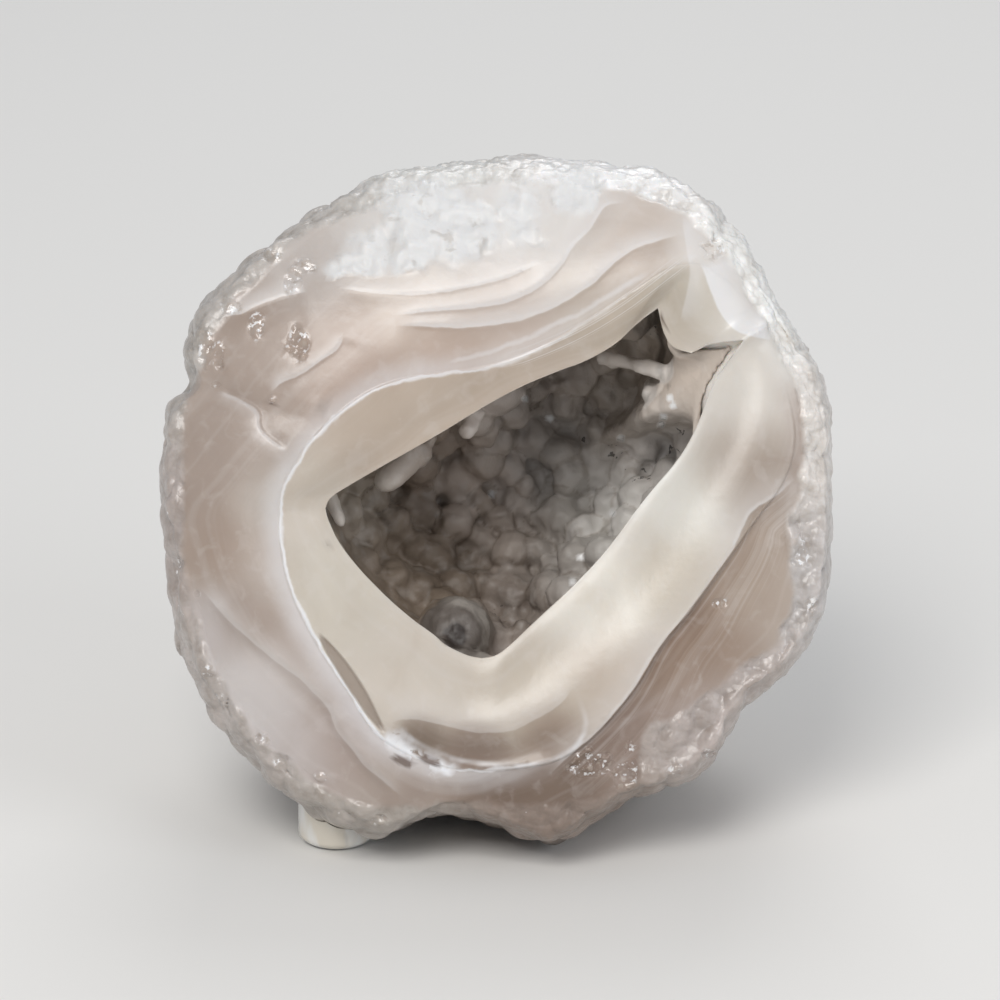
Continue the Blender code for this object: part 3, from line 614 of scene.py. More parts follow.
# where the white frost lies: middle (x, z), reach in mm and strength
frostSpots = [
    ((-9.5, 36.5), 6.5, 1.0), ((-17.5, 32.5), 5.0, 0.75), ((-4.0, 35.0), 4.5, 0.9),
    ((-12.0, 31.0), 4.0, 0.75), ((3.0, 37.5), 5.0, 0.62), ((10.0, 41.0), 5.0, 0.8),
    ((18.5, 41.0), 4.5, 0.8), ((25.5, 37.0), 4.0, 0.7), ((33.0, 29.0), 4.0, 0.7),
    ((37.5, 20.5), 4.0, 0.7), ((-22.0, 29.5), 2.5, 0.55), ((11.5, 34.5), 2.2, 0.5),
]


def frostShare(places):
    flat = places[:, [0, 2]]
    strength = np.zeros(len(places))
    for middle, reach, power in frostSpots:
        strength = np.maximum(strength, power * bumpAt(flat, middle, reach) * 1.5)
    distance, _ = lineDistance(flat, roundedLine(frostLine))
    strength = strength + 0.3 * layeredNoise(places, 3.0, 3, 71)
    aboveLine = (distance + 1.5 + 0.8 * smoothNoise(places, 3.0, 72)) / 2.0
    strength = strength * smoothStep(aboveLine + (flat[:, 0] > 6.0))
    return smoothStep((strength - 0.35) / 0.6) * smoothStep((17.0 - places[:, 1]) / 3.0)


def chipShare(places):
    share = np.zeros(len(places))
    ragged = 0.5 * smoothNoise(places, 1.3, 611)
    for (x, z), (wide, high) in chipSpots:
        reach = np.hypot((places[:, 0] - x) / wide, (places[:, 2] - z) / high)
        share = np.maximum(share, smoothStep((1.15 - reach + ragged) / 0.5))
    return share * smoothStep((20.0 - places[:, 1]) / 3.0)


def shapeStone(shape):
    look = stoneLook
    grid = stoneGrid(shape)
    firstPole = (look["mouthCentre"][0], look["hollowDepth"], look["mouthCentre"][1])
    lastPole = (look["backCentre"][0], look["depth"], look["backCentre"][1])
    made, places = sphereFromGrid("chalcedonyStone", grid, firstPole, lastPole)
    writePlaces(made, places)
    normals = readNormals(made)
    skin = skinShare(shape, places)
    behind = smoothStep((places[:, 1] - 14.0) / 6.0) * skin
    near, _ = cellNoise(places, look["lumpSize"], 301)
    lumps = 0.35 - 1.6 * np.minimum(near, 0.9) ** 2
    push = look["lumpHeight"] * behind * lumps
    sugar = sugarShare(shape, places)
    warped = places + 0.9 * np.column_stack([smoothNoise(places, 3.0, 9 + axis) for axis in range(3)])
    near, value = cellNoise(warped, look["knobSize"], 401)
    push += look["knobHeight"] * skin * (1.0 - 0.2 * sugar) * (0.5 - 1.2 * near**2) * (0.4 + 1.2 * value)
    near, value = cellNoise(places, look["grainSize"], 501)
    push += look["grainHeight"] * skin * (0.18 + 0.82 * sugar) * (0.45 - near) * (0.6 + 0.8 * value)
    frost = frostShare(places)
    clumps = 0.2 + layeredNoise(places, 3.0, 3, 601) + 0.12 * smoothNoise(places, 1.0, 607)
    push += look["frostHeight"] * frost * clumps
    chips = chipShare(places)
    push += chips * (look["chipHeight"] * layeredNoise(places, 1.3, 2, 621) - 0.1)
    calm = 1.0 - np.maximum(np.maximum(skin, frost), chips)
    push += calm * (0.12 * smoothNoise(places, 9.0, 701) + 0.03 * smoothNoise(places, 2.5, 702))
    places = places + normals * push[:, None]
    writePlaces(made, places)
    print("stone: raised grid of", countTriangles(made), "triangles")
    applyModifier(made, "DECIMATE", ratio=look["triangles"] / countTriangles(made))
    print("stone: thinned to", countTriangles(made), "triangles")
    places = readPlaces(made)
    addStoneAttributes(made, shape, places)
    made.data.transform(leanMatrix())
    settleOnFloor(made)
    made.data.shade_smooth()
    return made


def settleOnFloor(made, ease=1.5):
    # the flat spot, and the last of the outline eased into the stone's own size
    places = readPlaces(made)
    for axis in range(3):
        for sign, limit in ((-1.0, cadBox[0][axis] / mm), (1.0, cadBox[1][axis] / mm)):
            reach = sign * places[:, axis]
            edge = sign * limit - ease
            most = reach.max()
            if axis == 2 and sign < 0.0:
                places[:, 2] = np.maximum(places[:, 2], 0.0)
            elif most > edge + ease - 0.03:
                over = edge + (reach - edge) * (ease - 0.03) / (most - edge)
                places[:, axis] = sign * np.where(reach > edge, over, reach)
    writePlaces(made, places)


def writeAttribute(made, name, values, kind="FLOAT"):
    attribute = made.data.attributes.new(name, kind, "POINT")
    field = {"FLOAT": "value", "FLOAT_VECTOR": "vector", "FLOAT_COLOR": "color"}[kind]
    attribute.data.foreach_set(field, np.ascontiguousarray(values, dtype=np.float32).ravel())


# Soft zones of colour: middle (x, z), reach in mm, colour and weight, first for the
# lip inside the white vein and then for the stone outside it
lipZones = [
    ((-13.0, 9.0), 8.0, (0.72, 0.66, 0.60), 1.0), ((2.0, 15.5), 8.0, (0.70, 0.64, 0.58), 1.0),
    ((16.0, 23.5), 7.0, (0.73, 0.68, 0.62), 1.0), ((24.5, 26.0), 5.0, (0.73, 0.70, 0.65), 1.2),
    ((25.0, 20.0), 2.5, (0.75, 0.71, 0.66), 1.0), ((30.5, 23.5), 4.0, (0.84, 0.82, 0.79), 1.2),
    ((-26.0, 0.0), 5.0, (0.76, 0.72, 0.67), 1.0), ((-22.0, -13.0), 7.0, (0.78, 0.75, 0.70), 1.0),
    ((-10.0, -24.0), 7.0, (0.79, 0.755, 0.71), 1.0), ((3.0, -27.0), 6.0, (0.76, 0.72, 0.665), 1.4),
    # the next three zones paint shade into the concave scoop along the bottom of the lip
    ((-3.0, -35.4), 3.0, (0.53, 0.465, 0.42), 6.0), ((6.5, -32.5), 3.0, (0.56, 0.49, 0.44), 2.6),
    ((-10.5, -32.9), 2.2, (0.50, 0.44, 0.39), 4.0),
    ((13.0, -14.0), 6.0, (0.86, 0.84, 0.80), 1.0), ((24.0, 0.0), 6.0, (0.86, 0.85, 0.82), 1.0),
    ((31.0, 12.0), 6.0, (0.84, 0.82, 0.79), 1.0), ((33.0, 4.0), 5.0, (0.62, 0.565, 0.52), 1.2),
    ((24.0, -12.0), 5.0, (0.76, 0.72, 0.66), 1.0), ((15.0, -25.0), 5.0, (0.75, 0.70, 0.65), 1.0),
]
outerZones = [
    ((-8.0, 34.0), 8.0, (0.87, 0.86, 0.85), 1.0), ((5.0, 36.0), 8.0, (0.88, 0.87, 0.86), 1.6),
    ((17.0, 33.0), 5.5, (0.77, 0.72, 0.68), 1.2), ((12.0, 27.0), 5.0, (0.74, 0.69, 0.64), 1.0),
    ((1.0, 24.5), 6.0, (0.76, 0.70, 0.66), 1.0), ((-10.0, 24.0), 6.0, (0.76, 0.70, 0.65), 1.0),
    ((-8.0, 18.5), 5.0, (0.69, 0.61, 0.56), 1.0), ((-20.0, 17.0), 6.0, (0.67, 0.59, 0.54), 1.0),
    ((-31.0, 19.0), 7.0, (0.65, 0.59, 0.55), 1.0), ((-26.0, 29.0), 4.0, (0.74, 0.71, 0.69), 1.0),
    ((-38.0, 3.0), 7.0, (0.63, 0.57, 0.53), 1.0), ((-36.5, -7.0), 5.0, (0.63, 0.56, 0.51), 1.0),
    ((-31.5, -1.0), 3.6, (0.74, 0.71, 0.68), 1.6), ((-31.0, -10.0), 4.0, (0.73, 0.69, 0.66), 1.2),
    ((-33.0, -16.0), 4.0, (0.63, 0.57, 0.53), 1.0), ((-26.0, -22.0), 4.0, (0.70, 0.65, 0.62), 1.0),
    ((-22.0, -32.0), 5.0, (0.66, 0.60, 0.57), 1.0), ((-10.0, -39.0), 5.0, (0.62, 0.56, 0.52), 1.0),
    # the first zone on the next line paints shade on the lowest lobe, where the stone faces down
    ((4.0, -41.0), 6.5, (0.46, 0.39, 0.34), 3.0), ((17.0, -33.0), 5.0, (0.55, 0.48, 0.44), 1.2),
    ((25.0, -21.0), 6.0, (0.57, 0.49, 0.43), 1.2), ((33.0, -11.0), 5.0, (0.67, 0.61, 0.56), 1.2),
    ((37.0, 9.0), 4.5, (0.62, 0.56, 0.52), 1.6), ((28.0, 32.0), 5.0, (0.84, 0.82, 0.80), 1.2),
    ((37.0, 18.0), 4.0, (0.84, 0.83, 0.81), 1.2), ((28.0, -30.0), 5.0, (0.68, 0.63, 0.61), 1.0),
    ((-33.0, -27.0), 5.0, (0.78, 0.755, 0.745), 1.6), ((-38.0, -17.0), 3.5, (0.74, 0.71, 0.70), 1.2),
    ((-28.0, -33.0), 4.5, (0.76, 0.73, 0.72), 1.3),
]
skinZones = [
    ((-10.0, 42.0), 9.0, (0.84, 0.84, 0.83), 1.0), ((15.0, 43.0), 9.0, (0.93, 0.93, 0.93), 1.0),
    ((35.0, 28.0), 9.0, (0.93, 0.93, 0.92), 1.2), ((43.0, 8.0), 8.0, (0.83, 0.81, 0.79), 1.0),
    ((42.0, -12.0), 8.0, (0.72, 0.70, 0.69), 1.0), ((32.0, -30.0), 9.0, (0.67, 0.63, 0.61), 1.0),
    # the first zone on the next line paints shade on the lowest lobe, where the stone faces down
    ((6.0, -44.0), 9.0, (0.52, 0.46, 0.42), 1.5), ((-15.0, -42.0), 9.0, (0.64, 0.61, 0.58), 1.0),
    ((-34.0, -28.0), 9.0, (0.68, 0.65, 0.63), 1.0), ((-45.0, -5.0), 9.0, (0.66, 0.62, 0.60), 1.0),
    ((-42.0, 20.0), 9.0, (0.69, 0.67, 0.65), 1.0), ((-26.0, 36.0), 8.0, (0.72, 0.70, 0.68), 1.0),
]
restColour = (0.72, 0.68, 0.65)
# the hollow's bare wall: its own pale colour, lightened with painted light for the glow through the thin
# stone at the corner
wallColourAndGlow = (0.98, 0.95, 0.92)


def zoneColour(places, zones):
    total = np.full(len(places), 0.08)
    colour = total[:, None] * np.array(restColour)
    for middle, reach, tone, weight in zones:
        share = weight * bumpAt(places[:, [0, 2]], middle, reach)
        total += share
        colour += share[:, None] * np.array(tone)
    return colour / total[:, None]


def stoneTint(places, fromSeam, blur, skin, inside):
    # crisp where the vein and the crease part the lip from the stone outside
    outside = smoothStep(fromSeam / blur + 0.5)[:, None]
    colour = zoneColour(places, lipZones) * (1.0 - outside) + zoneColour(places, outerZones) * outside
    colour = colour * (1.0 - skin[:, None]) + zoneColour(places, skinZones) * skin[:, None]
    back = smoothStep((places[:, 1] - 22.0) / 16.0)[:, None]
    colour = colour * (1.0 - back) + np.array(restColour) * back
    colour = colour * (1.0 - inside[:, None]) + np.array(wallColourAndGlow) * inside[:, None]
    return colour**2.2


veinLine = [
    (24.8, 31.9), (14.8, 25.0), (8.6, 21.0), (2.4, 17.8), (-4.0, 16.3), (-10.2, 15.8),
    (-16.4, 14.2), (-21.4, 10.7), (-25.2, 7.0), (-27.0, 3.8), (-28.9, 0.7), (-29.3, -3.7),
    (-28.9, -8.1), (-27.7, -13.0), (-25.2, -18.0), (-22.6, -22.4), (-19.6, -26.7), (-17.1, -31.1),
    (-13.9, -33.6), (-9.3, -35.9), (-4.8, -37.2), (5.4, -36.1), (11.1, -33.6),
]
upperVein = [(-8.9, 16.9), (-1.5, 18.7), (5.4, 21.4), (13.5, 25.7), (20.5, 29.9)]
whitePatch = [(-15.5, -31.5), (-12.8, -34.0), (-9.3, -36.2), (-5.5, -37.4)]
creaseRight = [
    (39.9, 2.5), (37.2, 0.1), (32.8, -2.6), (31.5, -6.6), (27.8, -11.7), (24.4, -16.4),
    (21.3, -19.9), (18.9, -24.2), (16.3, -27.9), (12.6, -32.0), (8.5, -35.4), (5.8, -38.0),
]
striationLine = [(0.5, 17.6), (3.2, 18.3), (10.2, 21.2), (16.5, 25.0), (21.1, 28.6), (24.9, 31.5)]
# how strong the white vein is along its way, from the upper right to the lower left
veinStrength = ((0.0, 0.12, 0.3, 0.42, 0.55, 0.8, 0.9, 1.0), (0.1, 0.35, 0.75, 0.7, 0.8, 1.0, 0.7, 0.25))
# edges where light is painted: lit stone beyond the flap's and the lobe's edges, and a highlight along the
# scoop's rim
shineLines = {
    "flapEdge": [(24.4, 37.2), (24.6, 33.4), (25.4, 29.5), (24.6, 25.7), (24.0, 23.0)],
    "lobeEdge": [(26.5, 31.0), (28.5, 25.0), (31.0, 21.8), (33.0, 20.7), (36.5, 20.5)],
    "scoopEdge": [(-14.0, -31.0), (-8.0, -35.2), (0.8, -36.3), (6.2, -35.8), (9.3, -34.3),
                  (11.6, -31.5), (11.4, -29.0), (10.2, -26.9)],
}


def writeLines(made, name, flat, lines, onFace, strengths=None):
    # signed distances for crisp lines in the shader, with a mask that ends each line softly
    distances = []
    masks = []
    for index, line in enumerate(lines):
        distance, place = lineDistance(flat, roundedLine(line))
        mask = endFade(place, 0.1) * smoothStep((8.0 - np.abs(distance)) / 4.0) * onFace
        if strengths is not None and strengths[index] is not None:
            mask = mask * np.interp(place, *strengths[index])
        distances.append(distance)
        masks.append(mask)
    if len(lines) == 1:
        writeAttribute(made, name, distances[0])
        writeAttribute(made, name + "Mask", masks[0])
    else:
        writeAttribute(made, name, np.column_stack(distances), "FLOAT_VECTOR")
        writeAttribute(made, name + "Mask", np.column_stack(masks), "FLOAT_VECTOR")


def addStoneAttributes(made, shape, places):
    turn, radius = shape.around(places)
    flat = places[:, [0, 2]]
    deep = smoothStep((places[:, 1] - shape.at(turn, shape.edgeDepth) - 0.3) / 0.8)
    inside = np.where(onWall(shape, turn, radius, places[:, 1], 1.2), deep, 0.0)
    onFace = smoothStep((26.0 - places[:, 1]) / 6.0) * (1.0 - inside)
    skin = skinShare(shape, places)
    lines = {
        "veins": (veinLine, upperVein, whitePatch),
        "ledgesA": (ledges["top"][0], ledges["second"][0], ledges["third"][0]),
        "ledgesB": (ledges["upperLeft"][0], ledges["fold"][0], ledges["leftLobe"][0]),
        "ledgesC": (ledges["scoop"][0], outerLeftStep, creaseRight),
        "shines": tuple(shineLines.values()),
    }
    strengths = {"veins": (veinStrength, None, None)}
    for name, group in lines.items():
        writeLines(made, name, flat, group, onFace * (1.0 - skin), strengths.get(name))
    writeLines(made, "striation", flat, (striationLine,), onFace)
    away, along = lineDistance(flat, roundedLine(creaseRight))
    fan = np.abs(away) / (0.6 + 1.6 * along) + 0.25 * smoothNoise(places, 6.0, 821)
    fanMask = (away > 0.0) * smoothStep(away / 0.4) * smoothStep((9.0 - away) / 6.0)
    window = np.zeros(len(places))
    for line in windowLines:
        distance, _ = lineDistance(flat, [np.array(point) for point in line])
        window = np.maximum(window, smoothStep((0.75 - np.abs(distance)) / 0.4))
    fromMouth = radius - shape.at(turn, shape.mouth)
    fromSeam = radius - shape.at(turn, shape.seam)
    blur = 0.5 + 6.0 * bump(turn, 32, 28)
    writeAttributes(made, {
        "fan": fan,
        "fanMask": fanMask * endFade(along, 0.1) * onFace * (1.0 - skin),
        "layer": fromMouth + 0.8 * layeredNoise(places, 9.0, 2, 811),
        "skin": skin,
        "frost": frostShare(places),
        "chip": chipShare(places) * onFace,
        "speck": spotShare(flat, darkSpecks) * onFace,
        "recess": recessShare(flat) * onFace,
        "window": window * onFace,
    }, stoneTint(places, fromSeam, blur, skin, inside))


def bumpAt(points, middle, reach):
    return np.exp(-np.sum((points - np.array(middle)) ** 2, axis=1) / reach**2)


def spotShare(points, spots):
    share = np.zeros(len(points))
    for middle, reach in spots:
        share = np.maximum(share, bumpAt(points, middle, reach))
    return share


def writeAttributes(made, values, colour):
    for name, value in values.items():
        writeAttribute(made, name, value)
    writeAttribute(made, "tint", np.column_stack((colour, np.ones(len(colour)))), "FLOAT_COLOR")


def plainMaterial(name, colour, roughness):
    material = bpy.data.materials.new(name)
    material.use_nodes = True
    shader = material.node_tree.nodes["Principled BSDF"]
    shader.inputs["Base Color"].default_value = (*colour, 1.0)
    shader.inputs["Roughness"].default_value = roughness
    return material


class Shader:
    # a few short ways to add and join shader nodes

    def __init__(self, name, colour, roughness):
        self.material = plainMaterial(name, colour, roughness)
        self.nodes = self.material.node_tree.nodes
        self.links = self.material.node_tree.links
        self.principled = self.nodes["Principled BSDF"]
        self.place = self.nodes.new("ShaderNodeTexCoord").outputs["Object"]

    def put(self, socket, value):
        if isinstance(value, bpy.types.NodeSocket):
            self.links.new(value, socket)
        elif isinstance(value, tuple) and len(value) == 3 and socket.type == "RGBA":
            socket.default_value = (*value, 1.0)
        else:
            socket.default_value = value

    def math(self, operation, first, second=0.0):
        node = self.nodes.new("ShaderNodeMath")
        node.operation = operation
        self.put(node.inputs[0], first)
        self.put(node.inputs[1], second)
        return node.outputs[0]

    def times(self, first, second):
        return self.math("MULTIPLY", first, second)

    def sway(self, noise, amount):
        # a noise around one half becomes one around zero
        return self.times(self.math("SUBTRACT", noise, 0.5), amount)

    def fade(self, value, start, end, low=0.0, high=1.0):
        node = self.nodes.new("ShaderNodeMapRange")
        node.interpolation_type = "SMOOTHSTEP"
        for index, entry in enumerate((value, start, end, low, high)):
            self.put(node.inputs[index], entry)
        return node.outputs[0]

    def mix(self, share, first, second, blend="MIX"):
        node = self.nodes.new("ShaderNodeMix")
        node.data_type = "RGBA"
        node.blend_type = blend
        for index, value in ((0, share), (6, first), (7, second)):
            self.put(node.inputs[index], value)
        return node.outputs[2]

    def noise(self, size, detail=3.0, distortion=0.0, along=None):
        # size of the features in mm; along gives a value to read in one dimension
        node = self.nodes.new("ShaderNodeTexNoise")
        node.inputs["Detail"].default_value = detail
        node.inputs["Distortion"].default_value = distortion
        if along is None:
            node.inputs["Scale"].default_value = 1.0 / (size * mm)
            self.links.new(self.place, node.inputs["Vector"])
        else:
            node.noise_dimensions = "1D"
            node.inputs["Scale"].default_value = 1.0 / size
            self.links.new(along, node.inputs["W"])
        return node.outputs["Fac"]

    def cells(self, size, feature="F1"):
        node = self.nodes.new("ShaderNodeTexVoronoi")
        node.feature = feature
        node.inputs["Scale"].default_value = 1.0 / (size * mm)
        self.links.new(self.place, node.inputs["Vector"])
        return node.outputs["Distance"]

    def attribute(self, name, output="Fac"):
        node = self.nodes.new("ShaderNodeAttribute")
        node.attribute_name = name
        return node.outputs[output]

    def parts(self, name):
        node = self.nodes.new("ShaderNodeSeparateXYZ")
        self.links.new(self.attribute(name, "Vector"), node.inputs[0])
        return list(node.outputs)

    def line(self, distance, middle, width):
        # 1 on a line at that distance and 0 from its width on
        away = self.math("ABSOLUTE", self.math("SUBTRACT", distance, middle))
        return self.fade(away, 0.0, width, 1.0, 0.0)

    def bump(self, height, strength, distance):
        node = self.nodes.new("ShaderNodeBump")
        node.inputs["Distance"].default_value = distance * mm
        self.put(node.inputs["Strength"], strength)
        self.put(node.inputs["Height"], height)
        return node.outputs[0]

    def set(self, **values):
        for name, value in values.items():
            self.put(self.principled.inputs[name.replace("_", " ")], value)


# sizes in mm, colours and strengths
stoneColours = {
    "cloudSize": 8.0,
    "wispSize": 2.6,
    "layerSize": 2.4,
    "swingSize": 4.0,
    "wobbleSize": 3.0,
    "striationSize": 0.22,
    "fanSize": 0.6,
    "patchSize": 2.2,
    "shardSize": 0.9,
    "grainSize": 1.2,
    "glintSpacing": 2.4,
    "cloudDark": (0.95, 0.935, 0.92),
    "cloudLight": (1.03, 1.03, 1.03),
    # white of the veins, also the colour of the painted highlights on ledge edges and rims
    "vein": (0.80, 0.80, 0.82),
    "pale": (0.69, 0.655, 0.635),
    "shade": (0.72, 0.66, 0.61),
    "recess": (0.31, 0.25, 0.205),
    "window": (0.17, 0.125, 0.105),
    "frost": (0.72, 0.72, 0.72),
    "frostGrey": (0.56, 0.54, 0.52),
    "glint": (0.92, 0.92, 0.93),
    "speck": (0.12, 0.08, 0.06),
    "chipDark": (0.42, 0.36, 0.31),
    "skinDark": (0.84, 0.82, 0.80),
    "skinLight": (1.14, 1.14, 1.15),
    "scatter": 0.35,
    "scatterSize": 2.5,
    "roughness": 0.38,
}


def stoneMaterial():
    look = stoneColours
    s = Shader("waxyChalcedony", (0.6, 0.5, 0.42), look["roughness"])
    times = s.times
    skin = s.attribute("skin")
    bare = s.math("SUBTRACT", 1.0, skin)
    colour = s.attribute("tint", "Color")
    clouds = s.noise(look["cloudSize"], 3.0, 0.8)
    colour = s.mix(s.fade(clouds, 0.52, 0.3), colour, look["cloudDark"], "MULTIPLY")
    colour = s.mix(s.fade(clouds, 0.5, 0.7), colour, look["cloudLight"], "MULTIPLY")
    wisps = s.noise(look["wispSize"], 3.0, 0.5)
    colour = s.mix(s.fade(wisps, 0.52, 0.72, 0.0, 0.14), colour, look["pale"])

    # faint growth layers round the mouth
    bands = s.noise(look["layerSize"], 2.0, along=s.attribute("layer"))
    colour = s.mix(times(s.fade(bands, 0.5, 0.7, 0.0, 0.1), bare), colour, look["pale"])

    # ledges: painted light above each line, a painted highlight on its edge and a painted shade that fades
    # below it
    swing = s.noise(look["swingSize"], 2.0)
    patchy = s.fade(swing, 0.35, 0.6, 0.4, 1.0)
    wave = s.sway(swing, 0.8)
    groups = {
        "ledgesA": ((0.3, 0.75, 0.5, 3.2), (0.4, 0.75, 0.4, 2.6), (0.2, 0.6, 0.4, 2.4)),
        "ledgesB": ((0.15, 0.75, 0.25, 3.6), (0.2, 0.55, 0.25, 2.0), (0.35, 0.3, 0.3, 2.5)),
        "ledgesC": ((0.1, 0.3, 0.3, 5.5), (0.15, 0.3, 0.2, 3.0), (0.4, 0.35, 0.85, 4.5)),
    }
    for name, weights in groups.items():
        for raw, mask, (edge, above, below, reach) in zip(s.parts(name), s.parts(name + "Mask"), weights):
            distance = s.math("ADD", raw, wave)
            over = times(s.fade(distance, 0.1, -0.1), s.fade(distance, -reach, 0.0, 0.0, above))
            under = times(s.fade(distance, -0.1, 0.15), s.fade(distance, reach, 0.0, 0.0, below))
            colour = s.mix(times(over, mask), colour, look["pale"])
            colour = s.mix(times(under, mask), colour, look["shade"], "MULTIPLY")
            line = times(s.line(distance, -0.2, 0.5), times(patchy, 0.6 * edge))
            colour = s.mix(times(line, mask), colour, look["vein"])

    # the bundle of fine lines above the lip, and the fan below the crease
    striation, bundleMask = s.attribute("striation"), s.attribute("striationMask")
    fine = s.noise(look["striationSize"], 2.0, along=striation)
    bundle = times(s.fade(fine, 0.48, 0.7, 0.0, 0.45), s.fade(s.math("ABSOLUTE", striation), 1.9, 0.6))
    colour = s.mix(times(bundle, bundleMask), colour, look["vein"])
    fan = s.noise(look["fanSize"], 3.0, along=s.attribute("fan"))
    fanMask = s.attribute("fanMask")
    colour = s.mix(times(s.fade(fan, 0.5, 0.7, 0.0, 0.22), fanMask), colour, look["pale"])
    colour = s.mix(times(s.fade(fan, 0.5, 0.32, 0.0, 0.3), fanMask), colour, look["shade"], "MULTIPLY")

    # painted light on the stone beyond two edges, and a painted highlight on the bright rim of the scoop
    flap, lobe, scoop = s.parts("shines")
    flapMask, lobeMask, scoopMask = s.parts("shinesMask")
    for edge, mask, reach, bright in ((flap, flapMask, 3.5, 0.3), (lobe, lobeMask, 7.0, 0.7)):
        beyond = times(s.fade(s.math("ADD", edge, wave), -0.15, 0.2), s.fade(edge, reach, 0.0, 0.0, bright))
        colour = s.mix(times(beyond, mask), colour, look["vein"])
    line = s.line(s.math("ADD", scoop, wave), 0.0, 0.6)
    colour = s.mix(times(line, times(scoopMask, times(patchy, 0.55))), colour, look["vein"])

    # the shaded lens-shaped recess
    recess = s.attribute("recess")
    colour = s.mix(times(recess, 0.85), colour, look["recess"])

    # opaque white veins, with a milky halo outside the main one
    main, upper, patch = s.parts("veins")
    mainMask, upperMask, patchMask = s.parts("veinsMask")
    wobble = s.sway(s.noise(look["wobbleSize"], 3.0), 1.1)
    main = s.math("ADD", main, wobble)
    thick = s.fade(clouds, 0.35, 0.65, 0.28, 0.62)
    mainLine = s.fade(s.math("ABSOLUTE", main), 0.05, thick, 0.95, 0.0)
    halo = times(s.fade(main, 0.5, -0.2), s.fade(main, -3.8, -0.2, 0.0, 0.52))
    upperLine = times(s.line(s.math("ADD", upper, wobble), 0.0, 0.7), times(upperMask, 0.45))
    patches = s.noise(look["patchSize"], 3.0, 0.4)
    patchShare = times(s.fade(patches, 0.38, 0.48), patchMask)
    patchLine = times(s.line(s.math("ADD", patch, times(wobble, 2.5)), 0.0, 2.3), patchShare)
    mainVein = times(s.math("MAXIMUM", mainLine, halo), mainMask)
    veins = s.math("MAXIMUM", mainVein, s.math("MAXIMUM", upperLine, patchLine))
    veins = times(veins, s.math("SUBTRACT", 1.0, recess))
    colour = s.mix(veins, colour, look["vein"])
    colour = s.mix(times(s.attribute("window"), 0.9), colour, look["window"])

    # the rough glassy skin, the white frost, chips and specks
    grains = s.cells(look["grainSize"])
    colour = s.mix(times(s.fade(patches, 0.5, 0.32), skin), colour, look["skinDark"], "MULTIPLY")
    colour = s.mix(times(s.fade(patches, 0.5, 0.68), skin), colour, look["skinLight"], "MULTIPLY")
    frost = s.attribute("frost")
    frostColour = s.mix(s.fade(wisps, 0.56, 0.72), look["frost"], look["frostGrey"])
    colour = s.mix(times(frost, 0.9), colour, frostColour)
    chip = s.attribute("chip")
    shards = s.noise(look["shardSize"], 2.0)
    colour = s.mix(times(chip, s.fade(shards, 0.46, 0.36, 0.0, 0.6)), colour, look["chipDark"])
    colour = s.mix(times(chip, s.fade(shards, 0.56, 0.66, 0.0, 0.8)), colour, look["glint"])
    glints = times(s.fade(s.cells(look["glintSpacing"]), 0.1, 0.05), s.fade(patches, 0.5, 0.6))
    colour = s.mix(times(times(glints, skin), 0.7), colour, look["glint"])
    colour = s.mix(s.attribute("speck"), colour, look["speck"])

    rough = s.math("ADD", look["roughness"] - 0.02, times(frost, 0.2))
    rough = s.math("SUBTRACT", rough, s.math("ADD", times(chip, 0.2), times(patches, 0.08)))
    strength = s.math("ADD", 0.1, s.math("ADD", times(skin, 0.35), times(frost, 0.2)))
    fine = times(s.math("ADD", patches, times(shards, 0.35)), times(strength, 0.35))
    normal = s.bump(s.math("SUBTRACT", fine, times(grains, times(skin, 0.2))), 1.0, 1.0)
    s.set(Base_Color=colour, Roughness=rough, Normal=normal, IOR=1.54, Coat_Roughness=0.15)
    s.set(Coat_Weight=times(skin, 0.25))
    s.set(Subsurface_Weight=look["scatter"], Subsurface_Radius=(1.0, 0.85, 0.72))
    s.set(Subsurface_Scale=look["scatterSize"] * mm)
    return s.material


def useMaterial(made, material):
    made.data.materials.clear()
    made.data.materials.append(material)


# The crust of rounded crystals. Depths run into the stone from its face.
crustLook = {
    "columns": 200,
    "rings": 46,
    "gap": 0.45,
    "thickness": 2.0,
    "front": 13.0,
    "cornerAngle": 31.0,    # towards the smooth pale corner at the upper right
    "cornerReach": 15.0,
    "cornerThinning": 0.55,
    "lumps": 95,
    "spacing": 4.6,
    "sizes": (2.5, 4.2),
    "stretch": (0.6, 1.05),
    "crystalShare": 0.35,
    "lumpyShare": 0.68,
    "voxel": 0.48,
    "smoothing": 3,
    "drusySize": 2.0,
    "drusyHeight": 0.5,
    "unevenness": 0.42,
    "triangles": 180000,
    "seed": 5,
}

# lumps seen in the hollow: x, z, width and how pale; they sit on the wall behind that place
crustLumps = [
    (19.5, 21.2, 3.2, 0.8), (7.5, 15.0, 4.6, 0.5), (17.6, 12.6, 3.2, 0.7), (7.9, 5.3, 5.6, 0.55),
    (-2.6, 4.9, 6.6, 0.5), (2.0, 7.2, 3.2, 0.6), (3.6, 1.0, 4.2, 0.9), (-2.6, -0.9, 4.6, 0.35),
    (-6.1, -3.7, 6.0, 0.7), (0.0, -3.3, 4.6, 0.4), (4.4, -3.3, 3.0, 0.7), (-18.2, -5.2, 6.6, 0.8),
    (-11.2, -7.2, 5.4, 0.75), (-14.3, -11.4, 6.0, 0.65), (-10.4, -13.0, 6.2, 0.7), (-3.8, -8.3, 2.8, 0.8),
    (1.6, -7.6, 6.0, 0.5), (-2.2, -12.2, 5.0, 0.4), (7.1, -9.9, 4.6, 0.6), (11.0, -5.2, 5.4, 0.95),
    (9.8, 2.2, 6.0, 0.55), (16.8, 2.9, 6.0, 0.8), (19.5, 6.8, 5.4, 0.9), (14.8, -1.3, 5.0, 0.8),
    (2.0, -16.5, 4.4, 0.55), (-9.7, 1.4, 4.6, 0.3), (12.6, 8.8, 4.4, 0.5), (22.4, 13.4, 3.2, 0.9),
    (24.6, 11.8, 3.2, 0.8), (26.2, 12.6, 2.6, 0.9),
]
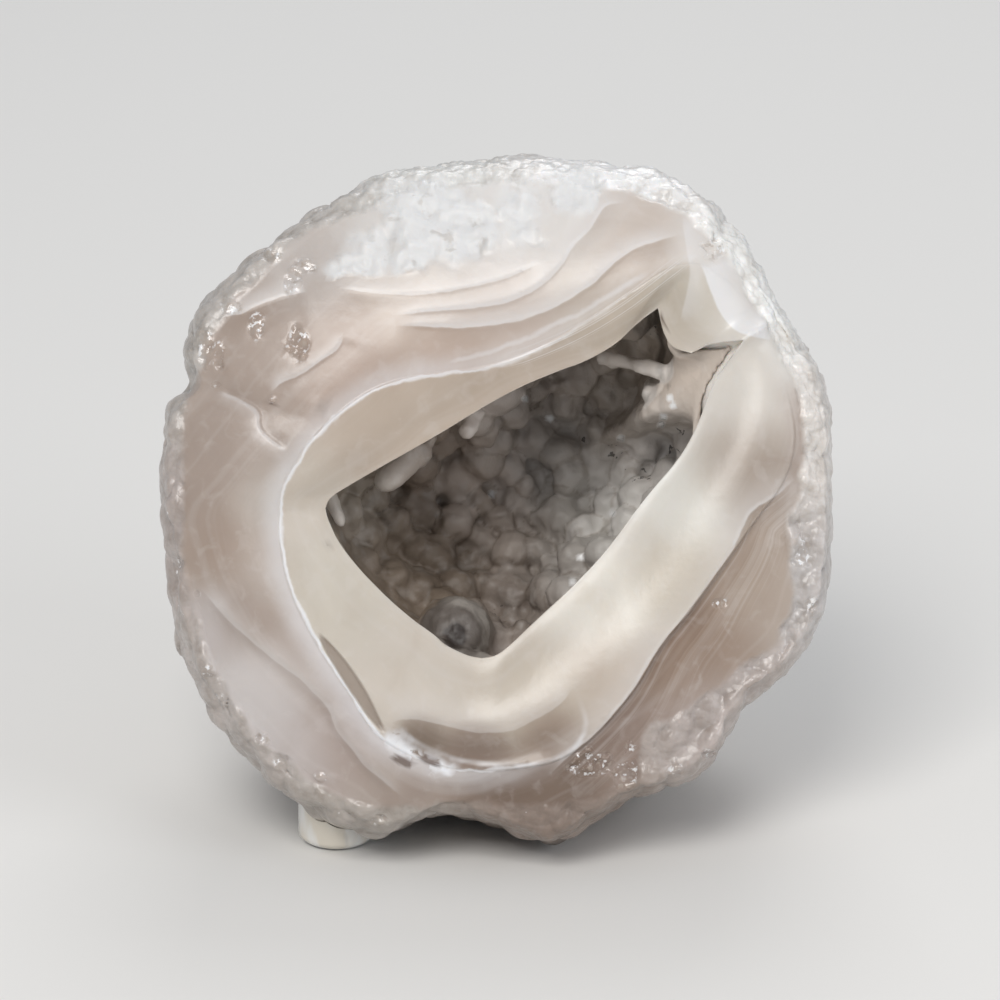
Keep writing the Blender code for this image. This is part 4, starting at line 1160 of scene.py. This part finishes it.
# fingers: where they start and end as x, z and depth, their radius, and how pale they are
crustFingers = [
    ((12.9, 16.0, 27.0), (11.6, 6.4, 18.0), 2.3, 0.75),
    ((13.5, 18.4, 20.0), (21.2, 16.4, 15.0), 1.4, 0.7),
    ((22.0, 15.0, 30.0), (19.6, 13.6, 18.0), 1.4, 0.6),
    ((-11.0, 6.0, 15.0), (-14.4, 2.4, 12.5), 2.6, 0.35),
    ((-23.4, 1.6, 12.0), (-21.2, -3.4, 11.0), 1.15, 0.5),
    ((3.0, -15.6, 24.0), (6.0, -14.0, 17.0), 1.2, 0.8),
    ((-3.2, 11.0, 18.0), (-4.4, 8.6, 15.5), 1.5, 0.2),
    ((-9.4, 7.4, 15.0), (-10.0, 5.8, 13.5), 1.1, 0.2),
]
crustEye = {"middle": (-5.8, -18.6), "radius": 5.4, "front": 15.0, "back": 30.0}
# the hollow's colours: middle (x, z), reach in mm, colour and weight
crustZones = [
    ((-20.0, -2.0), 6.0, (0.60, 0.56, 0.51), 1.0), ((-10.0, 4.0), 5.0, (0.50, 0.44, 0.39), 1.3),
    ((-14.0, -9.0), 6.0, (0.58, 0.52, 0.46), 1.0), ((-7.0, -10.5), 4.0, (0.45, 0.40, 0.35), 1.3),
    ((-4.0, 2.0), 6.0, (0.84, 0.79, 0.75), 1.0), ((0.0, 9.0), 5.0, (0.70, 0.66, 0.63), 1.0),
    ((1.0, -8.0), 5.0, (0.74, 0.69, 0.65), 1.0), ((2.0, -13.0), 3.0, (0.48, 0.44, 0.41), 1.3),
    ((8.0, 4.0), 6.0, (0.74, 0.72, 0.70), 1.0), ((8.0, 14.0), 5.0, (0.72, 0.68, 0.65), 1.0),
    ((8.0, -9.0), 4.0, (0.66, 0.64, 0.62), 1.0), ((14.0, 10.0), 5.0, (0.80, 0.76, 0.72), 1.0),
    ((14.0, -2.0), 6.0, (0.80, 0.79, 0.77), 1.2), ((20.0, 7.0), 5.0, (0.84, 0.82, 0.80), 1.2),
    ((18.0, 19.0), 4.0, (0.80, 0.75, 0.70), 1.0), ((27.0, 16.0), 5.5, (0.83, 0.79, 0.75), 2.2),
]
# where painted shadow darkens the gaps between the crystals to a dark brown: middle and reach
crustShades = [
    ((-9.8, 5.6), 3.4), ((-8.4, -1.8), 2.2), ((-8.0, -11.5), 2.4), ((-2.9, -3.6), 1.4),
    ((2.2, -11.6), 2.6), ((-14.8, -2.6), 2.6), ((-16.5, 1.0), 2.4), ((9.6, -9.2), 1.8),
    ((3.0, 11.5), 3.0), ((-22.4, -3.0), 1.6),
]
# a line of painted shadow in the gap beside the flap
crustShadowLine = [(20.9, 24.6), (21.2, 21.0), (21.6, 19.2), (21.0, 17.6), (21.3, 15.2), (22.6, 14.0)]
# small groups of dark specks: middle and reach
crustSpecks = [
    ((14.9, 5.8), 2.0), ((17.8, 3.4), 1.5), ((13.0, 1.6), 1.4), ((18.9, 2.2), 1.6), ((23.8, 8.6), 1.5),
    ((20.2, 21.6), 1.4), ((11.0, 7.0), 1.0), ((-0.6, -15.0), 1.6), ((22.8, 5.6), 1.2),
]
crustGlints = [
    (3.3, 12.6), (6.6, 10.0), (-1.1, 0.0), (22.5, 12.7), (22.9, 11.7), (21.6, 10.2), (21.4, 9.2),
    (14.9, -2.5), (10.7, -8.4), (9.6, -11.6), (16.0, 7.4),
]


def inView(x, z, depth):
    # the place at that depth that the photograph's viewpoint sees at x, z
    scale = (cameraLook["distance"] + depth) / cameraLook["distance"]
    drop = cameraLook["aimDrop"]
    return np.array((x * scale, depth, (z + drop) * scale - drop))


def seenAt(places):
    # the same the other way: x and z in the face's plane for places in the hollow
    scale = 1.0 + places[:, 1:2] / cameraLook["distance"]
    drop = np.array((0.0, cameraLook["aimDrop"]))
    return (places[:, [0, 2]] + drop) / scale - drop


def wallDepth(shape, x, z):
    # depth of the hollow's wall behind a place of the face
    offset = np.array((x, z)) - shape.centre
    hollow = shape.at(math.atan2(offset[1], offset[0]) % fullTurn, shape.hollow)
    share = min(float(np.hypot(*offset)) / hollow, 1.0) ** (4.0 / 3.0)
    widest = shape.look["hollowWidest"]
    return widest + (shape.look["hollowDepth"] - widest) * math.sqrt(1.0 - share**2)


def pointingMatrix(place, towards, turn, scale):
    matrix = Vector(towards).to_track_quat("Z", "Y").to_matrix().to_4x4() @ Matrix.Rotation(turn, 4, "Z")
    return Matrix.Translation(Vector(place)) @ matrix @ Matrix.Diagonal((*scale, 1.0))


def makePatterns():
    # one of each kind, a unit across the radius and two units long; all others are copies
    patterns = {}
    deselectAll()
    bpy.ops.mesh.primitive_ico_sphere_add(subdivisions=3, radius=1.0)
    patterns["lump"] = bpy.context.active_object
    crystal = None
    for foot, top, length, middle in ((1.0, 0.86, 1.5, -0.25), (0.86, 0.3, 0.5, 0.74)):
        deselectAll()
        bpy.ops.mesh.primitive_cone_add(
            vertices=6, radius1=foot, radius2=top, depth=length, location=(0.0, 0.0, middle),
        )
        bpy.ops.object.transform_apply(location=True, rotation=False, scale=False)
        crystal = crystal or bpy.context.active_object
    crystal.select_set(True)
    bpy.context.view_layer.objects.active = crystal
    bpy.ops.object.join()
    patterns["crystal"] = crystal
    deselectAll()
    bpy.ops.mesh.primitive_cone_add(vertices=10, radius1=1.15, radius2=0.8, depth=2.0)
    patterns["finger"] = bpy.context.active_object
    return patterns


def copyPattern(pattern, place, towards, turn, scale):
    mesh = pattern.data.copy()
    mesh.transform(pointingMatrix(place, towards, turn, scale))
    made = bpy.data.objects.new("crustPart", mesh)
    bpy.context.collection.objects.link(made)
    return made


def shapeCrust(shape):
    look = crustLook
    random = np.random.default_rng(look["seed"])
    corner = bump(shape.angles, look["cornerAngle"], look["cornerReach"])
    nearest = shape.edgeDepth + shape.look["lipThickness"] + 0.15
    front = np.maximum(look["front"] * (1.0 - corner), nearest + 1.2 * (1.0 - corner))
    inner = look["gap"] + look["thickness"]
    gap = look["gap"] - 0.25 * corner
    rings = look["rings"]
    parts = []
    for part in (np.arange(rings)[::-1] + 0.5) / rings:
        thinned = 1.0 - look["cornerThinning"] * corner * (1.0 - smoothStep(part / 0.35))
        parts.append(shape.placed(*shape.wallRow(part, front, gap + look["thickness"] * thinned)))
    for part in (np.arange(rings) + 0.5) / rings:
        parts.append(shape.placed(*shape.wallRow(part, front - 0.3, gap)))
    grid = np.concatenate(parts)
    bottom = shape.look["hollowDepth"]
    poles = [(shape.centre[0], bottom - inset, shape.centre[1]) for inset in (inner, look["gap"])]
    made, places = sphereFromGrid("crystalCrust", grid, poles[0], poles[1], 1)
    made.data.vertices.foreach_set("co", places.ravel())

    patterns = makePatterns()
    walls = grid[: int(rings * look["lumpyShare"]), corner < 0.4].reshape(-1, 3)
    middle = np.array((shape.centre[0], 16.0, shape.centre[1]))
    listed = np.array(crustLumps)
    spots = []
    pieces = []
    bodies = []
    for _ in range(look["lumps"] * 14):
        spot = walls[random.integers(len(walls))]
        size = random.uniform(*look["sizes"])
        stray = random.uniform(-1.0, 1.0, 3)
        stretch = random.uniform(*look["stretch"])
        turn = random.uniform(0.0, math.pi)
        kind = random.random()
        if len(spots) >= look["lumps"]:
            break
        if spots and np.linalg.norm(np.array(spots) - spot, axis=1).min() < look["spacing"]:
            continue
        aside = np.linalg.norm(listed[:, :2] - seenAt(spot[None, :]), axis=1)
        if (aside < 0.35 * listed[:, 2] + 0.4 * size).any():
            continue
        spots.append(spot)
        inward = (middle - spot) / np.linalg.norm(middle - spot)
        base = spot + inward * size * 0.1
        name = "crystal" if kind < look["crystalShare"] else "lump"
        scale = (size, size * 0.85, size * stretch)
        pieces.append(copyPattern(patterns[name], base, inward + 0.5 * stray, turn, scale))
        bodies.append((*base, size, 0.3 + 0.5 * kind))
    for x, z, width, pale in crustLumps:
        place = inView(x, z, wallDepth(shape, x, z) - inner - 0.3 * width)
        size = width * 0.5
        towards = (0.3 * math.sin(5.0 * x), -1.0, 0.3 * math.sin(7.0 * z))
        kind = "crystal" if width < 5.0 else "lump"
        scale = (size * 1.1, size * 0.9, size * 1.2)
        pieces.append(copyPattern(patterns[kind], place, towards, 0.4 * x, scale))
        bodies.append((*place, size, pale))
    segments = []
    for start, end, radius, pale in crustFingers:
        first, last = inView(*start), inView(*end)
        along = last - first
        half = np.linalg.norm(along) / 2.0
        scale = (radius, radius * 0.9, half)
        pieces.append(copyPattern(patterns["finger"], (first + last) / 2.0, along, 0.3, scale))
        scale = (radius * 0.82, radius * 0.75, radius)
        pieces.append(copyPattern(patterns["lump"], last, along, 0.0, scale))
        segments.append((first, last + along / half * radius, radius, pale))
    eye = crustEye
    ends = [inView(*eye["middle"], eye["front"]), inView(*eye["middle"], eye["back"])]
    scale = (eye["radius"], eye["radius"], (eye["back"] - eye["front"]) / 2.0)
    pieces.append(copyPattern(patterns["lump"], (ends[0] + ends[1]) / 2.0, ends[0] - ends[1], 0.0, scale))
    deselectAll()
    for piece in pieces:
        piece.select_set(True)
    made.select_set(True)
    bpy.context.view_layer.objects.active = made
    bpy.ops.object.join()
    for pattern in patterns.values():
        bpy.data.objects.remove(pattern)
    print("crust:", len(pieces), "lumps, crystals and fingers")
    applyModifier(made, "REMESH", mode="VOXEL", voxel_size=look["voxel"])
    applyModifier(made, "SMOOTH", factor=0.5, iterations=look["smoothing"])
    places = readPlaces(made) * mm
    seen = seenAt(places)
    smooth = smoothStep((seen[:, 0] - 20.5) / 2.0) * smoothStep((seen[:, 1] - 11.0) / 3.0)
    near, _ = cellNoise(places, look["drusySize"], 901)
    drusy = look["drusyHeight"] * (0.5 - near) + look["unevenness"] * layeredNoise(places, 3.0, 3, 911)
    rough = smoothStep((places[:, 1] - 10.0) / 4.0) * (1.0 - smooth)
    places = places + readNormals(made) * (drusy * rough)[:, None]
    keepOffTheWall(places, shape)
    writePlaces(made, places)
    if countTriangles(made) > look["triangles"]:
        applyModifier(made, "DECIMATE", ratio=look["triangles"] / countTriangles(made))
    dropLooseParts(made)
    print("crust:", countTriangles(made), "triangles")
    places = readPlaces(made)
    addCrustAttributes(made, places, np.array(bodies), segments)
    made.data.transform(leanMatrix())
    made.data.shade_smooth()
    return made


def addCrustAttributes(made, places, bodies, fingers):
    # each lump has its own tone, and shade is painted in the gaps between them
    warped = places + 0.5 * np.column_stack([layeredNoise(places, 2.2, 2, 931 + axis) for axis in range(3)])
    near = np.full(len(places), farAway)
    second = near.copy()
    tone = np.full(len(places), 0.4)
    for x, depth, z, size, pale in bodies:
        reach = np.linalg.norm(warped - np.array((x, depth, z)), axis=1) / size
        second = np.minimum(second, np.maximum(near, reach))
        tone = np.where(reach < near, pale, tone)
        near = np.minimum(near, reach)
    apart = smoothStep((second - near) / 0.22) * smoothStep((1.6 - near) / 0.4)
    seen = seenAt(places)
    pale = np.zeros(len(places))
    for first, last, radius, strength in fingers:
        along = last - first
        part = np.clip((places - first) @ along / (along @ along), 0.0, 1.0)
        reach = np.linalg.norm(places - first - part[:, None] * along, axis=1)
        onIt = smoothStep((radius * 1.6 - reach) / (radius * 0.5))
        pale = np.maximum(pale, strength * onIt * (0.4 + 0.6 * part))
        apart = np.maximum(apart, onIt)
    # painted shadow along the gap beside the flap and in the listed gaps, strongest between the lumps
    distance, place = lineDistance(seen, roundedLine(crustShadowLine))
    shadowLine = smoothStep((1.0 - 0.6 * place - np.abs(distance) + 0.3 * smoothNoise(places, 1.5, 941)) / 0.5)
    shade = spotShare(seen, crustShades) * (1.0 - 0.75 * apart)
    glint = np.zeros(len(places))
    for spot in crustGlints:
        away = np.linalg.norm(seen - np.array(spot), axis=1)
        glint = np.maximum(glint, smoothStep((0.62 - away) / 0.3))
    fromEye = seen - np.array(crustEye["middle"])
    eyeReach = np.linalg.norm(fromEye, axis=1)
    arc = smoothStep(((fromEye[:, 0] + 0.6 * fromEye[:, 1]) / np.maximum(eyeReach, 0.1) + 0.1) / 0.7)
    writeAttributes(made, {
        "tone": tone,
        "apart": apart,
        "pale": pale,
        "shade": np.maximum(shade, shadowLine * endFade(place, 0.02)),
        "glint": glint,
        "eye": eyeReach + np.maximum(places[:, 1] - crustEye["back"] + 3.0, 0.0),
        "eyeArc": arc,
        "dirt": spotShare(seen, crustSpecks),
    }, zoneColour(seen[:, [0, 0, 1]], crustZones) ** 2.2)


def keepOffTheWall(places, shape):
    # what would stand in the stone is brought back to the hollow's wall
    turn, radius = shape.around(places)
    look = shape.look
    hollow, mouth = shape.at(turn, shape.hollow), shape.at(turn, shape.mouth)
    start = shape.at(turn, shape.edgeDepth) + look["lipThickness"]
    widest = look["hollowWidest"]
    t = np.clip((places[:, 1] - start) / (widest - start), 0.0, 1.0)
    nearMouth = mouth + 0.5 + (hollow - mouth - 0.5) * np.sin(t * math.pi / 2.0)
    wall = np.where(places[:, 1] > widest, shape.wallBehind(turn, places[:, 1]), nearMouth) - 0.15
    places[:, 1] = np.clip(places[:, 1], start + 0.05, look["hollowDepth"] - 0.3)
    scale = np.minimum(1.0, np.maximum(wall, 0.02) / np.maximum(radius, 1e-6))
    places[:, [0, 2]] = shape.centre + (places[:, [0, 2]] - shape.centre) * scale[:, None]


def dropLooseParts(made):
    # keeps the one body, without crumbs that touch nothing
    work = bmesh.new()
    work.from_mesh(made.data)
    seen = set()
    bodies = []
    for vertex in work.verts:
        if vertex in seen:
            continue
        body = [vertex]
        seen.add(vertex)
        for member in body:
            for edge in member.link_edges:
                other = edge.other_vert(member)
                if other not in seen:
                    seen.add(other)
                    body.append(other)
        bodies.append(body)
    bodies.sort(key=len)
    loose = [vertex for body in bodies[:-1] for vertex in body]
    bmesh.ops.delete(work, geom=loose, context="VERTS")
    work.to_mesh(made.data)
    work.free()


crustColours = {
    "milkSize": 2.6,
    "speckSize": 0.9,
    "eyeNoiseSize": 2.5,
    "grainSize": 1.2,
    "toneDark": (0.72, 0.69, 0.66),
    "toneLight": (1.25, 1.25, 1.26),
    "gap": (0.62, 0.57, 0.52),
    "milky": (0.66, 0.63, 0.60),
    "gapShadow": (0.10, 0.075, 0.055),
    "dark": (0.06, 0.05, 0.045),
    "eyeCore": (0.045, 0.035, 0.03),
    "eyeRing": (0.15, 0.13, 0.115),
    "eyeArc": (0.34, 0.31, 0.28),
    "sparkle": (0.97, 0.97, 0.97),
}


def crustMaterial():
    look = crustColours
    s = Shader("greyCrystal", (0.3, 0.27, 0.25), 0.4)
    times = s.times
    tone = s.attribute("tone")
    colour = s.attribute("tint", "Color")
    colour = s.mix(s.fade(tone, 0.55, 0.2), colour, look["toneDark"], "MULTIPLY")
    colour = s.mix(s.fade(tone, 0.5, 1.0), colour, look["toneLight"], "MULTIPLY")
    # painted shade where the lumps meet
    colour = s.mix(s.fade(s.attribute("apart"), 0.8, 0.0, 0.0, 0.5), colour, look["gap"], "MULTIPLY")
    colour = s.mix(s.fade(s.noise(look["milkSize"], 3.0), 0.5, 0.7, 0.0, 0.2), colour, look["milky"])
    # painted shadow in the gaps and along the line beside the flap
    colour = s.mix(times(s.attribute("shade"), 0.8), colour, look["gapShadow"])
    specks = s.math("ADD", s.noise(look["speckSize"], 2.0), times(s.attribute("dirt"), 0.3))
    colour = s.mix(times(s.fade(specks, 0.84, 0.91), 0.8), colour, look["dark"])
    colour = s.mix(s.attribute("pale"), colour, look["milky"])
    eye = s.math("ADD", s.attribute("eye"), s.sway(s.noise(look["eyeNoiseSize"], 2.0), 1.6))
    ring = s.mix(s.fade(eye, 1.4, 2.0), look["eyeCore"], look["eyeRing"])
    ring = s.mix(times(s.fade(eye, 3.2, 4.0), s.attribute("eyeArc")), ring, look["eyeArc"])
    colour = s.mix(s.fade(eye, 4.7, 5.3, 1.0, 0.0), colour, ring)
    sparkle = s.attribute("glint")
    colour = s.mix(sparkle, colour, look["sparkle"])
    normal = s.bump(s.noise(look["grainSize"], 3.0), 0.4, 0.4)
    s.set(Base_Color=colour, Roughness=s.fade(sparkle, 0.0, 1.0, 0.5, 0.1), Normal=normal, IOR=1.54)
    return s.material


pegLook = {
    "middle": (-22.2, -19.0),
    "radius": 5.3,
    "height": 9.5,
    "rounding": 2.0,
    "footRoundness": 0.7,
    "clearance": 0.25,
    "columns": 160,
    "cream": (0.78, 0.72, 0.62),
    "pale": (0.88, 0.87, 0.84),
    "grey": (0.52, 0.50, 0.46),
}


def shapePeg(stoneAbove):
    look = pegLook
    middle = np.array(look["middle"])
    bodyRadius, rounding, height = look["radius"], look["rounding"], look["height"]
    footRise = rounding * look["footRoundness"]
    profile = [(bodyRadius - rounding) * share for share in np.linspace(0.06, 1.0, 12)]
    core, straight = bodyRadius - rounding, height - rounding - footRise
    turns = np.linspace(0.1, 1.0, 10) * math.pi / 2.0
    rows = [(radius, 0.0) for radius in profile]
    rows += [(core + rounding * math.sin(turn), footRise * (1.0 - math.cos(turn))) for turn in turns]
    rows += [(bodyRadius, footRise + straight * share) for share in np.linspace(0.05, 1.0, 24)]
    shoulder = height - rounding
    rows += [(core + rounding * math.cos(turn), shoulder + rounding * math.sin(turn)) for turn in turns]
    rows += [(radius, height) for radius in profile[::-1][1:]]
    angles = -np.arange(look["columns"]) * fullTurn / look["columns"]
    radii = np.array([row[0] for row in rows])[:, None]
    heights = np.array([row[1] for row in rows])[:, None]
    grid = np.stack((
        middle[0] + radii * np.cos(angles), middle[1] + radii * np.sin(angles),
        np.broadcast_to(heights, (len(rows), look["columns"])),
    ), axis=-1)
    made, places = sphereFromGrid("creamPeg", grid, (*middle, 0.0), (*middle, height), 1)
    below = BVHTree.FromObject(stoneAbove, bpy.context.evaluated_depsgraph_get())
    for index, (x, y, z) in enumerate(places):
        hit = below.ray_cast(Vector((x, y, -1.0)) * mm, Vector((0.0, 0.0, 1.0)))[0]
        if hit is not None:
            places[index, 2] = min(z, max(hit.z / mm - look["clearance"], 0.0))
    writePlaces(made, places)
    made.data.shade_smooth()
    print("peg:", countTriangles(made), "triangles")
    return made


def pegMaterial():
    look = pegLook
    s = Shader("creamGloss", look["cream"], 0.22)
    stretch = s.nodes.new("ShaderNodeMapping")
    stretch.inputs["Scale"].default_value = (1.0, 1.0, 0.35)
    s.links.new(s.place, stretch.inputs["Vector"])
    s.place = stretch.outputs["Vector"]
    streaks = s.noise(3.4, 2.0, 0.4)
    colour = s.mix(s.fade(streaks, 0.42, 0.62), look["cream"], look["pale"])
    colour = s.mix(s.fade(s.noise(2.2, 2.0), 0.56, 0.72, 0.0, 0.5), colour, look["grey"])
    s.set(Base_Color=colour, Normal=s.bump(streaks, 0.15, 0.2), Coat_Weight=0.6, Coat_Roughness=0.08)
    return s.material


cameraLook = {
    "distance": 650.0,      # mm from the middle of the face
    "elevation": 20.0,
    "photoWidth": 132.4,    # mm of the face plane that the photograph spans
    "aimDrop": 0.8,         # mm that the aim lies below the face's middle
}


def placeCamera():
    look = cameraLook
    rise = math.radians(look["elevation"])
    back = Vector((0.0, -math.cos(rise), math.sin(rise)))
    up = Vector((0.0, math.sin(rise), math.cos(rise)))
    middle = Vector((0.0, -pose["faceForward"], pose["faceHeight"]))
    aim = middle - up * look["aimDrop"]
    data = bpy.data.cameras.new("camera")
    data.sensor_width = 36.0
    data.lens = data.sensor_width * look["distance"] / look["photoWidth"]
    data.clip_start = 0.01
    data.clip_end = 10.0
    camera = bpy.data.objects.new("camera", data)
    bpy.context.collection.objects.link(camera)
    camera.location = (aim + back * look["distance"]) * mm
    camera.rotation_euler = (-back).to_track_quat("-Z", "Y").to_euler()
    bpy.context.scene.camera = camera


stageLook = {
    "floorColour": (0.80, 0.79, 0.77),
    "worldColour": (0.92, 0.95, 1.0),
    "worldStrength": 0.38,
    "lightAim": (0.0, 0.0, 0.04),
    "lights": {  # place in m, size in m, power in W, colour
        "key": ((-0.25, -0.75, 0.85), 0.5, 7.0, (1.0, 0.98, 0.95)),
        "fill": ((0.7, -0.5, 0.4), 0.5, 2.0, (0.95, 0.97, 1.0)),
        "back": ((0.1, 0.6, 0.7), 0.5, 2.0, (1.0, 1.0, 1.0)),
    },
}


def buildStage():
    look = stageLook
    deselectAll()
    bpy.ops.mesh.primitive_plane_add(size=6.0, location=(0.0, 0.0, 0.0))
    floor = bpy.context.active_object
    floor.name = "floor"
    floor.data.materials.append(plainMaterial("paleFloor", look["floorColour"], 0.85))
    for name, (place, size, power, colour) in look["lights"].items():
        data = bpy.data.lights.new(name, "AREA")
        data.size = size
        data.energy = power
        data.color = colour
        light = bpy.data.objects.new(name, data)
        bpy.context.collection.objects.link(light)
        light.location = place
        towards = Vector(look["lightAim"]) - Vector(place)
        light.rotation_euler = towards.to_track_quat("-Z", "Y").to_euler()
    scene = bpy.context.scene
    world = bpy.data.worlds.new("softRoom")
    scene.world = world
    world.use_nodes = True
    sky = world.node_tree.nodes["Background"]
    sky.inputs["Color"].default_value = (*look["worldColour"], 1.0)
    sky.inputs["Strength"].default_value = look["worldStrength"]
    scene.view_settings.view_transform = "Standard"
    scene.cycles.max_bounces = 4
    scene.cycles.diffuse_bounces = 2
    scene.cycles.caustics_reflective = False


placeCamera()
buildStage()
stoneShape = StoneShape(stoneLook["columns"], stoneLook)

stone = shapeStone(stoneShape)
useMaterial(stone, stoneMaterial())
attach(stone, "root")
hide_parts("chalcedony_stone")

crust = shapeCrust(StoneShape(crustLook["columns"], stoneLook))
useMaterial(crust, crustMaterial())
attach(crust, "root")
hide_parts("crystal_crust")

peg = shapePeg(stone)
useMaterial(peg, pegMaterial())
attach(peg, "root")
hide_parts("prop_peg")
